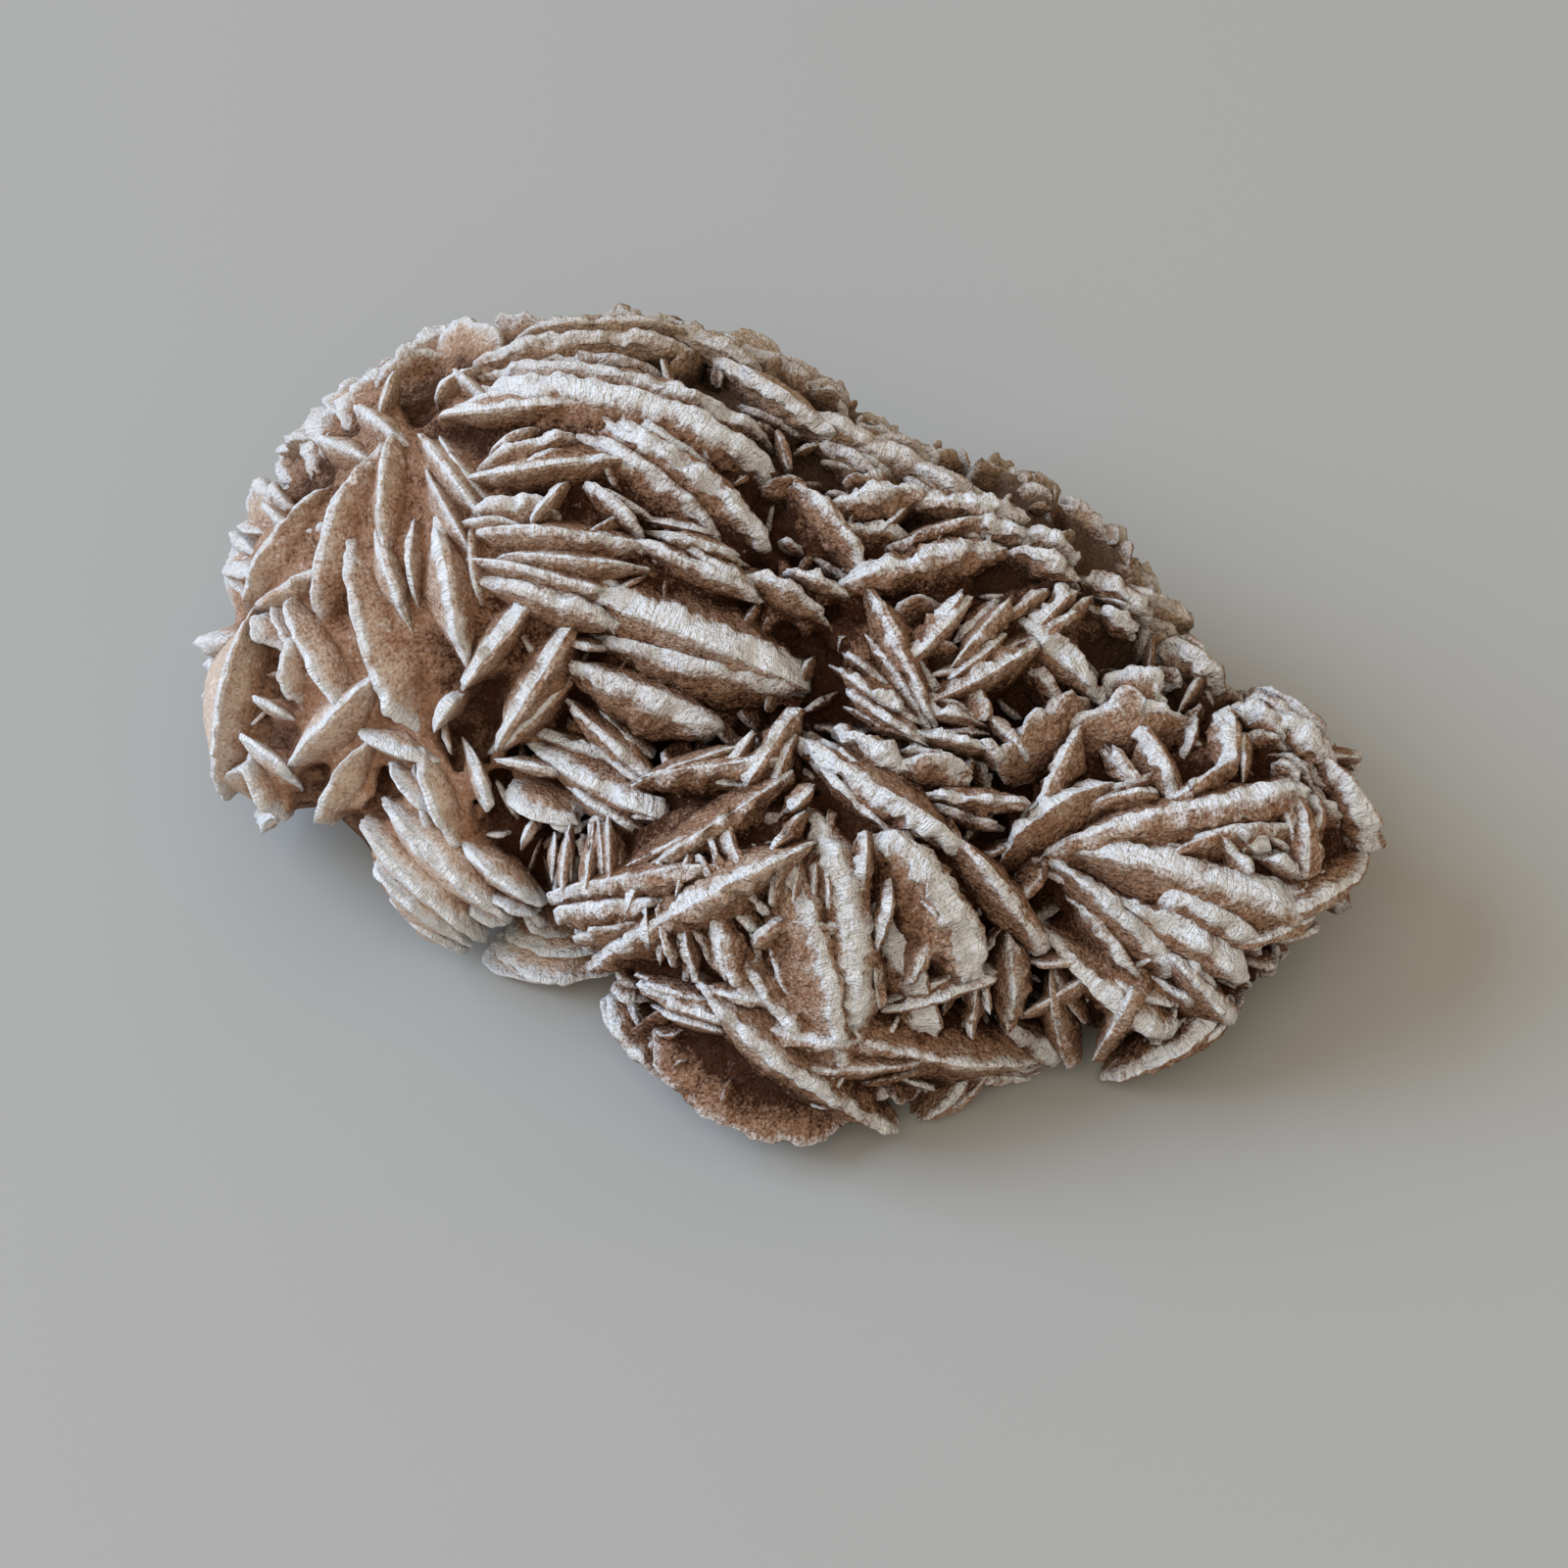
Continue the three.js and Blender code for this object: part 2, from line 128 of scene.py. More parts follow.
ROSETTE = [
    (-25, -18, -8, -15, 1.2, 1.8), (-25, -19.5, -14, -18, 0.8, 1.8), (-21.5, -26, -4, -15.3, 0.6, 2.4),
    (-6.7, -17.3, -3, -26.6, -1, 1.7), (-14.2, -15.3, 0, -5.4, 0.3, 1.4), (-5.7, -9, -4.2, -15, 0.3, 1.4),
    (-4.2, -15.3, -1.8, -18.4, 0, 1), (-8.3, -12.3, -7, -15.5, 0, 1.2),
    (-6.8, -11.5, -5.8, -14.5, 0, 1.2), (-0.8, -17.2, 1, -11.8, 0.8, 1.6),
    (6.5, -31.2, 2.6, -8.5, -2.7, 4.6), (4.2, -31, -3.4, -21, 1.8, 1.2),
    (-0.8, -18.8, 6, -19.3, 0.2, 1.5), (-3.2, -21.6, 0.5, -18.6, 0.5, 1.6),
    (1.4, -18, 1.8, -13.5, 0.2, 1), (2.9, -18.2, 3, -13, 0, 1), (4.4, -17.8, 4.2, -13.5, 0, 1),
    (7.3, -14.8, 7.6, -9, 0, 1.5), (17.8, -25.4, 9.6, -12, -3.1, 4.4),
    (11.5, -25.3, 14.6, -17.8, -0.9, 2), (10.8, -27, 20.7, -23.8, -0.7, 1.2),
    (18, -31.4, 18.7, -26, 0, 1), (22.2, -31.3, 22.2, -22.8, -0.7, 2),
    (20.2, -28.5, 19.7, -25.5, 0, 0.8), (-1, -12, 2, -8, 0.4, 1.2),
    (-10.2, -23.4, -11.6, -17.4, 0.3, 1), (-12.9, -22, -13.3, -17.6, 0, 0.9),
    (-8.1, -25.2, -9.5, -19, 0.2, 1.1), (-15.8, -19.8, -13.8, -14.4, 0.2, 0.9),
    (-5.3, -25, -6.2, -19.4, 0, 1.1), (-9.9, -16.6, -8.9, -12.4, 0, 0.9),
    (8.6, -21.6, 9.8, -15.4, -0.3, 1.2), (12.8, -16, 16.6, -20.2, 0.3, 1.2),
    (9.6, -27.6, 8.9, -23.2, 0, 1), (-2.4, -15.8, -2.9, -11.2, 0, 0.9),
]
HEART = [
    (-3, -5.2, 2.2, 1.8, 0.5, 2), (0.8, -1.6, 16, -11.8, 0.6, 2.3), (0.6, -8.3, 3.5, -5.3, 0, 1.1),
    (4.6, -0.2, 11, -3.5, 0.4, 2), (4.6, 6, 12.8, 0.8, 0.2, 1.2), (11.2, -4, 18.2, -4.8, 1.2, 1.6),
    (-15.4, -5.6, -2, -4, 0.3, 1.5), (12.5, -0.6, 20.5, -2.6, 0.5, 1.2),
    (13.5, 1.8, 19.5, 0.4, 0.4, 1.1), (5.8, 3.6, 13.6, -1.6, 0.2, 1), (20, 1.2, 24.2, -3.4, 0.3, 1.2),
]
MIDDLE = [
    (-30, 14, -16.8, 10, 0.4, 2), (-27.5, 16.3, 1.8, 4.6, 0.7, 3.6), (-21.4, 5.6, -7, -0.5, 0.7, 2.5),
    (-22, 3, -12.8, -5, 0, 1.1), (-25.6, -1.4, -13, -7.9, -0.4, 2), (-28.7, -3, -21.5, 8.3, 0, 2),
    (-31.3, -2.2, -29.2, -8.4, 0.3, 1.2), (-28.6, -3.6, -22.6, -4.5, 0, 1),
    (-27.8, -6.3, -21.3, -9.5, -1.2, 1.2), (-26, -12.3, -24.7, -10, 0, 1.1),
    (-35, -1, -32.8, 2.2, 0, 1.6), (-32.2, 3, -25.5, 10.9, 0, 1.8),
]
PETALS = [
    (-38.7, 18, -38.3, 29.5, 1, 1.6), (-37, 10.3, -40, 19.2, 0, 1.8), (-45.3, 11.5, -39.5, 27.8, 2.7, 2),
    (-35.2, -1.6, -41.5, 18.5, 3.2, 2), (-30.9, 6.2, -33.7, 20.3, 0.2, 3.2),
    (-37, 29.5, -30.3, 21, 0.3, 1.3), (-49, 29.7, -43, 27, 0.3, 1.4), (-45, 33, -39.8, 29.3, 0.3, 1.4),
    (-40, 33, -39, 36.7, 0, 1.3), (-34.5, 33.5, -30.8, 36, 0.5, 1.6), (-34.3, 36.5, -31, 33.5, 0.2, 1.4),
    (-54, 23.5, -51, 21, 0, 1.4), (-54.2, 11.5, -46.3, 22.8, 2.4, 1.6), (-54, 11, -46.3, 14.8, 0.8, 1.3),
    (-43.8, 2.3, -49.3, 13.2, 1.5, 1.5), (-49.6, 2.6, -49.2, 8.8, 1, 1.3),
    (-52.4, 7.8, -53.6, 11.4, 1, 1.2), (-50, -5, -41, 4.3, 0.5, 2.2), (-42.5, -0.5, -35.4, -3.3, -0.4, 2),
    (-46.8, -10.3, -42, -2.7, 1, 1.5), (-51, -10, -53.9, -4, 0.6, 1.3),
    (-55.5, -1, -50.2, -4.6, 0.5, 1.2), (-32.6, -12.6, -35.8, -3, 0.9, 1.8),
    (-39.4, -4, -34.8, -8.6, -0.6, 1), (-54.2, 3.3, -50.3, 1.5, 0.2, 1.2),
    (-58, -9.5, -54.6, 7, 1.6, 1.6),
]
STACK = [
    (-41, -10.5, -30, -21.6, -1, 1.4), (-39.2, -8, -28, -18.5, -0.7, 1.3),
    (-37.8, -9.8, -35, -13.7, -0.5, 1), (-32, -11.5, -24.4, -17.5, -0.5, 1.1),
    (-29.2, -17, -25.2, -18.8, -0.3, 1.1), (-38.3, -16.7, -30.8, -23.5, -0.5, 1.4),
    (-41.5, -13.6, -39, -16.2, -0.5, 1.2), (-37, -20.5, -31.5, -23.8, -0.4, 1.3),
    (-30, -21.5, -20, -25.7, -1.9, 1.4, 0.6, 7), (-19.3, -16.4, -18.8, -9.8, 0, 0.8),
    (-17, -14.5, -17.4, -8.6, 0, 0.8), (-21.8, -16.6, -21.2, -10, 0, 0.9),
]
SKIRT = [
    (-11.8, -28.5, 5.5, -38, -6.5, 2, 0, 8), (-18, -27, -11.5, -34.5, -1.6, 1.4, 0, 6),
    (-4.5, -27.5, 12.5, -40.5, -1.2, 1.8), (12, -40.5, 18, -34.5, -1.2, 1.6),
    (-3, -27.8, 27, -32.7, -1.8, 1.3), (-14.4, -24.8, -3.6, -28.6, -0.8, 1.1),
    (-8.5, -25, -0.3, -26.3, -0.4, 1.1), (18, -33.8, 27, -34.8, -1.6, 1.4, 0, 5),
    (24, -31, 29.3, -34, -0.3, 2.4),
]
CLUSTERS = {
    "crown_blades": CROWN, "shoulder_blades": SHOULDER, "saddle_blades": SADDLE,
    "fan_blades": FAN, "rosette_blades": ROSETTE, "heart_blades": HEART,
    "middle_blades": MIDDLE, "petal_blades": PETALS, "stack_blades": STACK,
    "skirt_blades": SKIRT,
}

CREST_SPREAD = 1.15  # a blade's half-width over its visible crest's half-length
LEAN_BOW = 0.6  # bow of a blade lying flat, over its crest's half-length
STEEPEST_LEAN = 0.95
LEAST_REACH = 4.0
REACH_SHARE = (0.6, 1.25)


# ---------------------------------------------------------------- small helpers

def unit(vector):
    """The array scaled to a length of 1 over all its numbers."""
    return vector / np.linalg.norm(vector)


def between(share, ends):
    """The value this share of the way from the first end to the second."""
    return ends[0] + (ends[1] - ends[0]) * share


def swing(pick, most):
    """A value from -most to most for a pick from 0 to 1."""
    return most * (2 * pick - 1)


def turned(vector, axis, angle):
    """The vector turned about a unit axis."""
    return (vector * math.cos(angle) + np.cross(axis, vector) * math.sin(angle)
            + axis * (axis @ vector) * (1 - math.cos(angle)))


def smooth(low, high, value):
    """0 up to low, 1 from high on, and a soft step between them."""
    share = np.clip((value - low) / (high - low), 0, 1)
    return share * share * (3 - 2 * share)


def cell_value(x, y, z, seed):
    """A fixed number from -1 to 1 for each whole-number cell."""
    mixed = (x * np.uint32(73856093)) ^ (y * np.uint32(19349663)) ^ (z * np.uint32(83492791))
    mixed ^= np.uint32((seed * 2654435761) % 2**32)
    mixed ^= mixed >> np.uint32(13)
    mixed = mixed * np.uint32(1274126177)
    mixed ^= mixed >> np.uint32(16)
    return mixed.astype(np.float32) * np.float32(2 / 2**32) - np.float32(1)


def noise(points, size, seed):
    """Smooth noise from -1 to 1 at points in mm, with lumps about as wide as size."""
    spots = np.asarray(points, np.float32) / np.float32(size)
    floor = np.floor(spots)
    share = spots - floor
    share = share * share * (3 - 2 * share)
    cells = floor.astype(np.int32).view(np.uint32)
    total = np.zeros(len(spots), np.float32)
    for corner in range(8):
        steps = [(corner >> axis) & 1 for axis in range(3)]
        weight = np.ones(len(spots), np.float32)
        for axis, step in enumerate(steps):
            weight *= share[:, axis] if step else 1 - share[:, axis]
        sides = [cells[:, axis] + np.uint32(steps[axis]) for axis in range(3)]
        total += weight * cell_value(*sides, seed)
    return total


def layers(points, waves, seed):
    """Layers of noise, each given as its height, the width of its lumps in mm and its own seed."""
    return sum(height * noise(points, width, seed + own) for height, width, own in waves)


# ---------------------------------------------------------------- the skin of the body

def lobe_distances(points, lobes):
    """Rough distance in mm from each point to each ellipsoid."""
    offsets = points[:, None, :] - lobes[None, :, :3]
    scaled = offsets / lobes[None, :, 3:]
    size = np.sqrt((scaled**2).sum(-1))
    slope = np.sqrt(((scaled / lobes[None, :, 3:])**2).sum(-1))
    return size * (size - 1) / np.maximum(slope, 1e-9)


def skin_distance(points):
    """Rough distance in mm from points to the blended lobes, below zero inside them."""
    near = lobe_distances(points, LOBES)
    least = near.min(1)
    return least - LOBE_BLEND * np.log(np.exp((least[:, None] - near) / LOBE_BLEND).sum(1))


def skin_normals(points):
    """Directions straight out of the blended lobes."""
    slopes = [skin_distance(points + SLOPE_STEP * axis) - skin_distance(points - SLOPE_STEP * axis)
              for axis in np.eye(3)]
    slopes = np.stack(slopes, 1)
    return slopes / np.linalg.norm(slopes, axis=1, keepdims=True)


WALK_FROM, WALK_TO = 80.0, -60.0  # heights over the plan between which the skin is looked for
LEAST_STEP = 0.15
CLOSE_ENOUGH = 0.02


def skin_points(plan):
    """The outermost skin point over each point of the plan, or the nearest miss beside it."""
    base = PLAN_ORIGIN + plan[:, :1] * U_AXIS + plan[:, 1:] * V_AXIS
    height = np.full(len(plan), WALK_FROM)
    best_height = height.copy()
    best_miss = np.full(len(plan), np.inf)
    going = np.ones(len(plan), bool)
    while going.any():
        miss = skin_distance(base + height[:, None] * OUT_AXIS)
        better = going & (miss < best_miss)
        best_miss[better] = miss[better]
        best_height[better] = height[better]
        going &= (miss >= CLOSE_ENOUGH) & (height > WALK_TO)
        height = np.where(going, height - np.maximum(LEAST_STEP, 0.8 * miss), height)
    return base + best_height[:, None] * OUT_AXIS


# ---------------------------------------------------------------- where the blades stand

# How closely points are set: steps along a rim, rings over its bevels, and rings further in, in mm.
FINE = {
    "step": 0.40, "bevel": (0, 0.15, 0.4, 0.7, 1),
    "body": (0.2, 0.6, 1.2, 2.0, 2.9, 4.0, 5.5, 9, 15),
}
OPEN_FACE = {
    "step": 0.42, "bevel": (0, 0.15, 0.4, 0.7, 1),
    "body": (0.2, 0.6, 1.0, 1.4, 1.8, 2.3, 2.8, 3.3, 3.9, 4.5, 5.1, 5.8, 6.6, 7.5, 9, 12, 15),
}
OPEN_LEAN = 0.55  # blades that lie flatter than this, and are bigger, show a whole face
OPEN_HALF = 5.0
MEDIUM = {"step": 0.78, "bevel": (0, 0.4, 1), "body": (0.25, 0.8, 1.7, 3.0, 5.0, 9)}
SMALL = {"step": 0.6, "bevel": (0, 1), "body": (0.5, 1.7), "columns": (10, 4)}
COARSE = {"step": 1.0, "bevel": (0, 0.5, 1), "body": (0.4, 1.4, 3.0, 5.5, 9)}


class Blade:
    """A lens in the plane of along and outward, with its topmost point at top.

    It is half and reach in radius along those, and its rim there is crest wide. Its rim is rougher
    with rough, wider towards its end with flare, and keener over a broader foot with sharp."""

    def __init__(self, top, along, outward, half, reach, crest, rough, detail, flare=0.0,
                 sharp=0.0):
        self.along = along
        self.outward = outward
        self.facing = np.cross(outward, along)
        self.half = half
        self.reach = reach
        self.crest = crest
        self.rough = rough
        self.detail = detail
        self.flare = flare
        self.sharp = sharp
        self.centre = top - reach * outward


def show_blades(rows, rough, flare, sharp):
    """Blades of one cluster, stood on the skin where its rows say."""
    starts = skin_points(np.array([row[:2] for row in rows], float))
    ends = skin_points(np.array([row[2:4] for row in rows], float))
    middles = []
    for u_start, v_start, u_end, v_end, bow, *_ in rows:
        length = math.hypot(u_end - u_start, v_end - v_start)
        middles.append(((u_start + u_end) / 2 - bow * (v_end - v_start) / length,
                        (v_start + v_end) / 2 + bow * (u_end - u_start) / length))
    tops = skin_points(np.array(middles, float))
    return [show_blade(*places, rough, flare, sharp)
            for places in zip(rows, starts, ends, tops)]


def show_blade(row, start, end, top, rough, flare, sharp):
    """A blade through three points of the skin; the more its crest bows, the flatter it lies."""
    bow, crest = row[4:6]
    lift = row[6] if len(row) > 6 else 0
    along = unit(end - start)
    crest_half = np.linalg.norm(end - start) / 2
    facing = unit(OUT_AXIS - (OUT_AXIS @ along) * along)
    left = np.cross(facing, along)
    lean = max(-STEEPEST_LEAN, min(STEEPEST_LEAN, bow / (LEAN_BOW * crest_half)))
    outward = math.sqrt(1 - lean * lean) * facing + lean * left
    half = crest_half * CREST_SPREAD
    drop = (top - (start + end) / 2) @ outward
    arc = 1 - math.sqrt(1 - 1 / CREST_SPREAD**2)
    shallow, deep = (max(share * half, LEAST_REACH) for share in REACH_SHARE)
    reach = row[7] if len(row) > 7 else min(max(drop / arc, shallow), deep)
    detail = OPEN_FACE if abs(lean) > OPEN_LEAN and half > OPEN_HALF else FINE
    return Blade(top + lift * outward, along, outward, half, reach, crest, rough, detail, flare,
                 sharp)


def golden_points(count):
    """Points spread evenly over a ball of radius 1."""
    turn = math.pi * (3 - math.sqrt(5))
    steps = np.arange(count)
    level = 1 - (2 * steps + 1) / count
    ring = np.sqrt(1 - level**2)
    return np.stack([ring * np.cos(turn * steps), ring * np.sin(turn * steps), level], 1)


def lobe_skin_spots(spacing):
    """Points about spacing apart over the whole skin, with the normals there."""
    spots = []
    for lobe in LOBES:
        x, y, z, rx, ry, rz = lobe
        area = 4 * math.pi * (rx * ry + ry * rz + rx * rz) / 3
        tops = golden_points(round(area / spacing**2)) * lobe[3:] + lobe[:3]
        tops = tops[skin_distance(tops) > -LOBE_BLEND]
        spots.append(tops)
    spots = np.concatenate(spots)
    normals = skin_normals(spots)
    return spots - normals * skin_distance(spots)[:, None], normals


def blade_on_skin(top, normal, turn, lean, **shape):
    """A blade turned about the skin's normal and leaned off it, both in degrees."""
    along = unit(np.array([-normal[1], normal[0], 1e-6]))
    along = unit(along - (along @ normal) * normal)
    along = turned(along, normal, math.radians(turn))
    outward = turned(normal, along, math.radians(lean))
    return Blade(top, along, outward, **shape)


CRUST_X = (-38, -15)  # the rose is clean on the left of this, and crusty on the right


def crust_share(points):
    """1 where the rose is rough and crusty, 0 where its blades are clean."""
    return smooth(*CRUST_X, points[:, 0])


HIDDEN_SPACING = 7.5
UNDER_SPACING_SHARE = 0.45  # share of the spots that grow a blade on the underside
HIDDEN_HALF = (4.5, 10.0)
HIDDEN_CREST = (1.2, 2.7)
HIDDEN_ROUNDNESS = (0.75, 1.0)
HIDDEN_SWAY = 50.0
HIDDEN_SWAY_LENGTH = 13.0
HIDDEN_SCATTER = 38.0
HIDDEN_LEAN = 34.0
HIDDEN_ROUGHNESS = 2.2
BROW_FROM = -0.1  # normals that turn this far to the show face are on the brow between both
BROW_SPACING = 5.5
BROW_SIZE = (0.85, 0.62)  # of a brow blade over one of the back, where clean and where crusty
BROW_SINK = (0.0, 1.5)
HIDDEN_SINK = 1.2
SHOWN_FROM = 0.10  # normals that turn this far to the show face are on it
SHOWN_FROM_ABOVE = 0.36  # likewise, where they point up more than this
POINTS_UP = 0.3
HIDDEN_LOWEST = 0.5
THIN_CREST = 0.6  # least share of its picked crest that a small hidden blade has
UNDERSIDE = -0.35  # normals that point down more than this are the underside's


def hidden_blades():
    """Blades of the back, its brow and the underside: back and brow first, then underside."""
    back, under = [], []
    for spacing, seed, on_brow in ((HIDDEN_SPACING, 11, False), (BROW_SPACING, 12, True)):
        draw = np.random.default_rng(seed)
        for top, normal in zip(*lobe_skin_spots(spacing)):
            picks = draw.uniform(size=7)
            shown = normal @ OUT_AXIS
            shown_from = SHOWN_FROM_ABOVE if normal[2] > POINTS_UP else SHOWN_FROM
            if shown > shown_from or top[2] < HIDDEN_LOWEST or (shown > BROW_FROM) != on_brow:
                continue
            below = normal[2] < UNDERSIDE
            if below and picks[6] > UNDER_SPACING_SHARE:
                continue
            turn = HIDDEN_SWAY * math.sin(top[0] / HIDDEN_SWAY_LENGTH)
            turn += swing(picks[0], HIDDEN_SCATTER)
            half = between(picks[2]**1.5, HIDDEN_HALF)
            sink = HIDDEN_SINK * picks[5]
            if on_brow:
                crust = crust_share(top[None])[0]
                half *= between(crust, BROW_SIZE)
                sink += between(crust, BROW_SINK)
            reach = half * between(picks[3], HIDDEN_ROUNDNESS)
            crest = between(picks[4], HIDDEN_CREST) * between(half / HIDDEN_HALF[1], (THIN_CREST, 1))
            (under if below else back).append(blade_on_skin(
                top - normal * sink, normal, turn, swing(picks[1], HIDDEN_LEAN),
                half=half, reach=reach, crest=crest, rough=HIDDEN_ROUGHNESS,
                detail=COARSE if below else MEDIUM))
    return back, under


TWIN_LEAST_HALF = 3.4
TWIN_LIKELY = (0.14, 0.66)  # where clean and where crusty
TWIN_OFFSET = (0.5, 1.35)  # over the parent's crest width
TWIN_SINK = (0.35, 2.2)
TWIN_SIZE = (0.5, 0.95)
TWIN_TURN = 14.0
TWIN_LEAN = 10.0
TWIN_SLIDE = 0.45  # over the parent's half length
TWIN_CREST = (0.4, 0.7)  # over the parent's
TWIN_ROUNDNESS = 0.8
TWIN_LEAST_REACH = 2.5


def twin_blades(parents, seed, detail):
    """Thinner blades that lie along the sides of bigger ones, a little lower."""
    draw = np.random.default_rng(seed)
    twins = []
    for parent in parents:
        likely = between(crust_share(parent.centre[None])[0], TWIN_LIKELY)
        for side in (1, -1):
            picks = draw.uniform(size=8)
            small = parent.half < TWIN_LEAST_HALF
            if small or parent.detail is OPEN_FACE or picks[0] > likely:
                continue
            half = between(picks[1], TWIN_SIZE) * parent.half
            along = turned(parent.along, parent.outward, math.radians(swing(picks[2], TWIN_TURN)))
            outward = turned(parent.outward, along, math.radians(swing(picks[3], TWIN_LEAN)))
            top = parent.centre + parent.reach * parent.outward
            top = top + side * parent.crest * between(picks[4], TWIN_OFFSET) * parent.facing
            top = top + swing(picks[5], TWIN_SLIDE) * parent.half * parent.along
            top = top - between(picks[6], TWIN_SINK) * parent.outward
            twins.append(Blade(
                top, along, outward, half, max(TWIN_ROUNDNESS * half, TWIN_LEAST_REACH),
                parent.crest * between(picks[7], TWIN_CREST), parent.rough, detail,
                sharp=parent.sharp))
    return twins


CRYSTAL_SPACING = 3.8
CRYSTAL_HALF = (1.4, 3.6)
CRYSTAL_SINK = (1.2, 5.2)
CRYSTAL_LIKELY = (0.10, 0.90)  # where clean and where crusty
CRYSTAL_LEAN = 30.0
CRYSTAL_ROUNDNESS = (0.65, 1.10)
CRYSTAL_CREST = 0.5
CRYSTAL_CREST_PER_HALF = 0.18
CRYSTAL_ROUGHNESS = 1.2
CRYSTAL_LOWEST = 2.0
COVER_RING = 0.95  # share of a blade's radius that counts as over it
OPEN_CLEARANCE = 8.0  # crystals keep this far off the big blades that show a whole face


def covers(blade, spot):
    """Whether a spot of the skin lies over or under a blade's face."""
    offset = spot - blade.centre
    ring = math.hypot(offset @ blade.along / blade.half, offset @ blade.outward / blade.reach)
    return ring < COVER_RING and abs(offset @ blade.facing) < OPEN_CLEARANCE


def crevice_crystals():
    """Small thin crystals at every angle, sunk between the big blades."""
    draw = np.random.default_rng(23)
    blades = []
    spots, normals = lobe_skin_spots(CRYSTAL_SPACING)
    open_faced = [blade for group in SHOWN.values() for blade in group
                  if blade.detail is OPEN_FACE]
    for top, normal, rough in zip(spots, normals, crust_share(spots)):
        picks = draw.uniform(size=8)
        low = top[2] < CRYSTAL_LOWEST or normal[2] < UNDERSIDE
        if low or picks[7] > between(rough, CRYSTAL_LIKELY):
            continue
        if any(covers(blade, top) for blade in open_faced):
            continue
        half = between(picks[0]**2, CRYSTAL_HALF)
        blades.append(blade_on_skin(
            top - normal * between(picks[1], CRYSTAL_SINK), normal, 360 * picks[2],
            swing(picks[3], CRYSTAL_LEAN), half=half,
            reach=half * between(picks[4], CRYSTAL_ROUNDNESS),
            crest=CRYSTAL_CREST + CRYSTAL_CREST_PER_HALF * half * picks[5],
            rough=CRYSTAL_ROUGHNESS, detail=SMALL))
    return blades


ROUGHNESS = {
    "crown_blades": 1.1, "shoulder_blades": 1.7, "saddle_blades": 1.7, "fan_blades": 1.0,
    "rosette_blades": 1.6, "heart_blades": 1.7, "middle_blades": 1.1, "petal_blades": 1.1,
    "stack_blades": 1.1, "skirt_blades": 1.2,
}
# How much wider a blade's rim is towards its end, and how keen its edge is over a broad foot.
FLARE = {"fan_blades": 0.42, "middle_blades": 0.3, "crown_blades": 0.1, "rosette_blades": 0.1}
KEENNESS = {
    "petal_blades": 1.0, "stack_blades": 0.8, "middle_blades": 0.15, "crown_blades": 0.15}

# ---------------------------------------------------------------- the surface of a blade

STRANDS_APART = 50.0  # sets the streaks of one blade apart from another's
BURIED_DEPTH = 5.6  # rims deeper than this under the skin need few points
BURIED_WEIGHT = 0.12
SHOWN_ARC = (math.radians(-28), math.radians(208))
PLAIN_COLUMNS = (14, 9)  # fewest points along the shown arc, then those along the buried one
MOST_COLUMNS = 190
ARC_TRIALS = 90
WAYS_APART = 1000.0  # keeps one blade's rim noise apart from another's
TAPER = (0.1, 0.8)  # sines of the angles between which a blade's ends thicken
POINTED = (0.35, 0.85)  # how much thinner a blade is at its ends
INNER_RING = 0.7  # the innermost ring, over the mean radius, as the next two
MOST_LIP = 0.4
MOST_DROP = 0.15
SNAPPED_SHARE = 0.3
LIP_PER_CREST = 0.37  # half the thickness at the rim's edges over the crest's width
RIDGE_SHIFT = 0.85
LIT_WAY = unit(np.array([-0.7, 0.2, 0.6]))  # the window light's way: faces turned away from it get painted shade
# Painted shade: how much further from its rim a face turned fully away from the window light is counted,
# so it is coloured less pale and browner
SHADED_SIDE_PUSH = 1.5
BEVEL_FALL = (0.3, 0.75)  # how far a bevel drops over how far it reaches sideways
BODY_SLOPE = (0.12, 0.28)
FOOT_FLARE = 0.13  # how fast a blade spreads towards its foot, per mm
MOST_SWELL = 8.0
KEEN_THINNING = 0.4
KEEN_SLOPE = 0.10
KEEN_SPREAD = 0.15
KEEN_FLARE = 0.4
FULL_FLARE_HALF = 9.0  # smaller blades spread less towards their foot
PLAIN_SPREAD = 0.45  # most that a blade swells, over its half length
SQUARENESS = (1.95, 2.55)  # power of the rim's curve: 2 is an ellipse, more is squarer
SNAP_ANGLE = (18, 48)
SNAP_REACH = (0.84, 0.94)


def blade_columns(blade, step):
    """Angles round a blade, closer together where its rim comes out of the sand."""
    low, high = SHOWN_ARC
    trial = np.linspace(low, high, ARC_TRIALS)
    rim = (blade.centre + np.outer(np.cos(trial) * blade.half, blade.along)
           + np.outer(np.sin(trial) * blade.reach, blade.outward))
    way = np.linalg.norm(np.diff(rim, axis=0), axis=1)
    depth = -skin_distance((rim[1:] + rim[:-1]) / 2)
    weight = way * np.where(depth < BURIED_DEPTH, 1.0, BURIED_WEIGHT)
    total = np.concatenate([[0], np.cumsum(weight)])
    fewest, buried_count = blade.detail.get("columns", PLAIN_COLUMNS)
    count = int(min(max(total[-1] / step, fewest), MOST_COLUMNS))
    shown = np.interp(np.linspace(0, total[-1], count), total, trial)
    buried = np.linspace(high, low + 2 * math.pi, buried_count + 2)[1:-1]
    return np.concatenate([shown, buried])


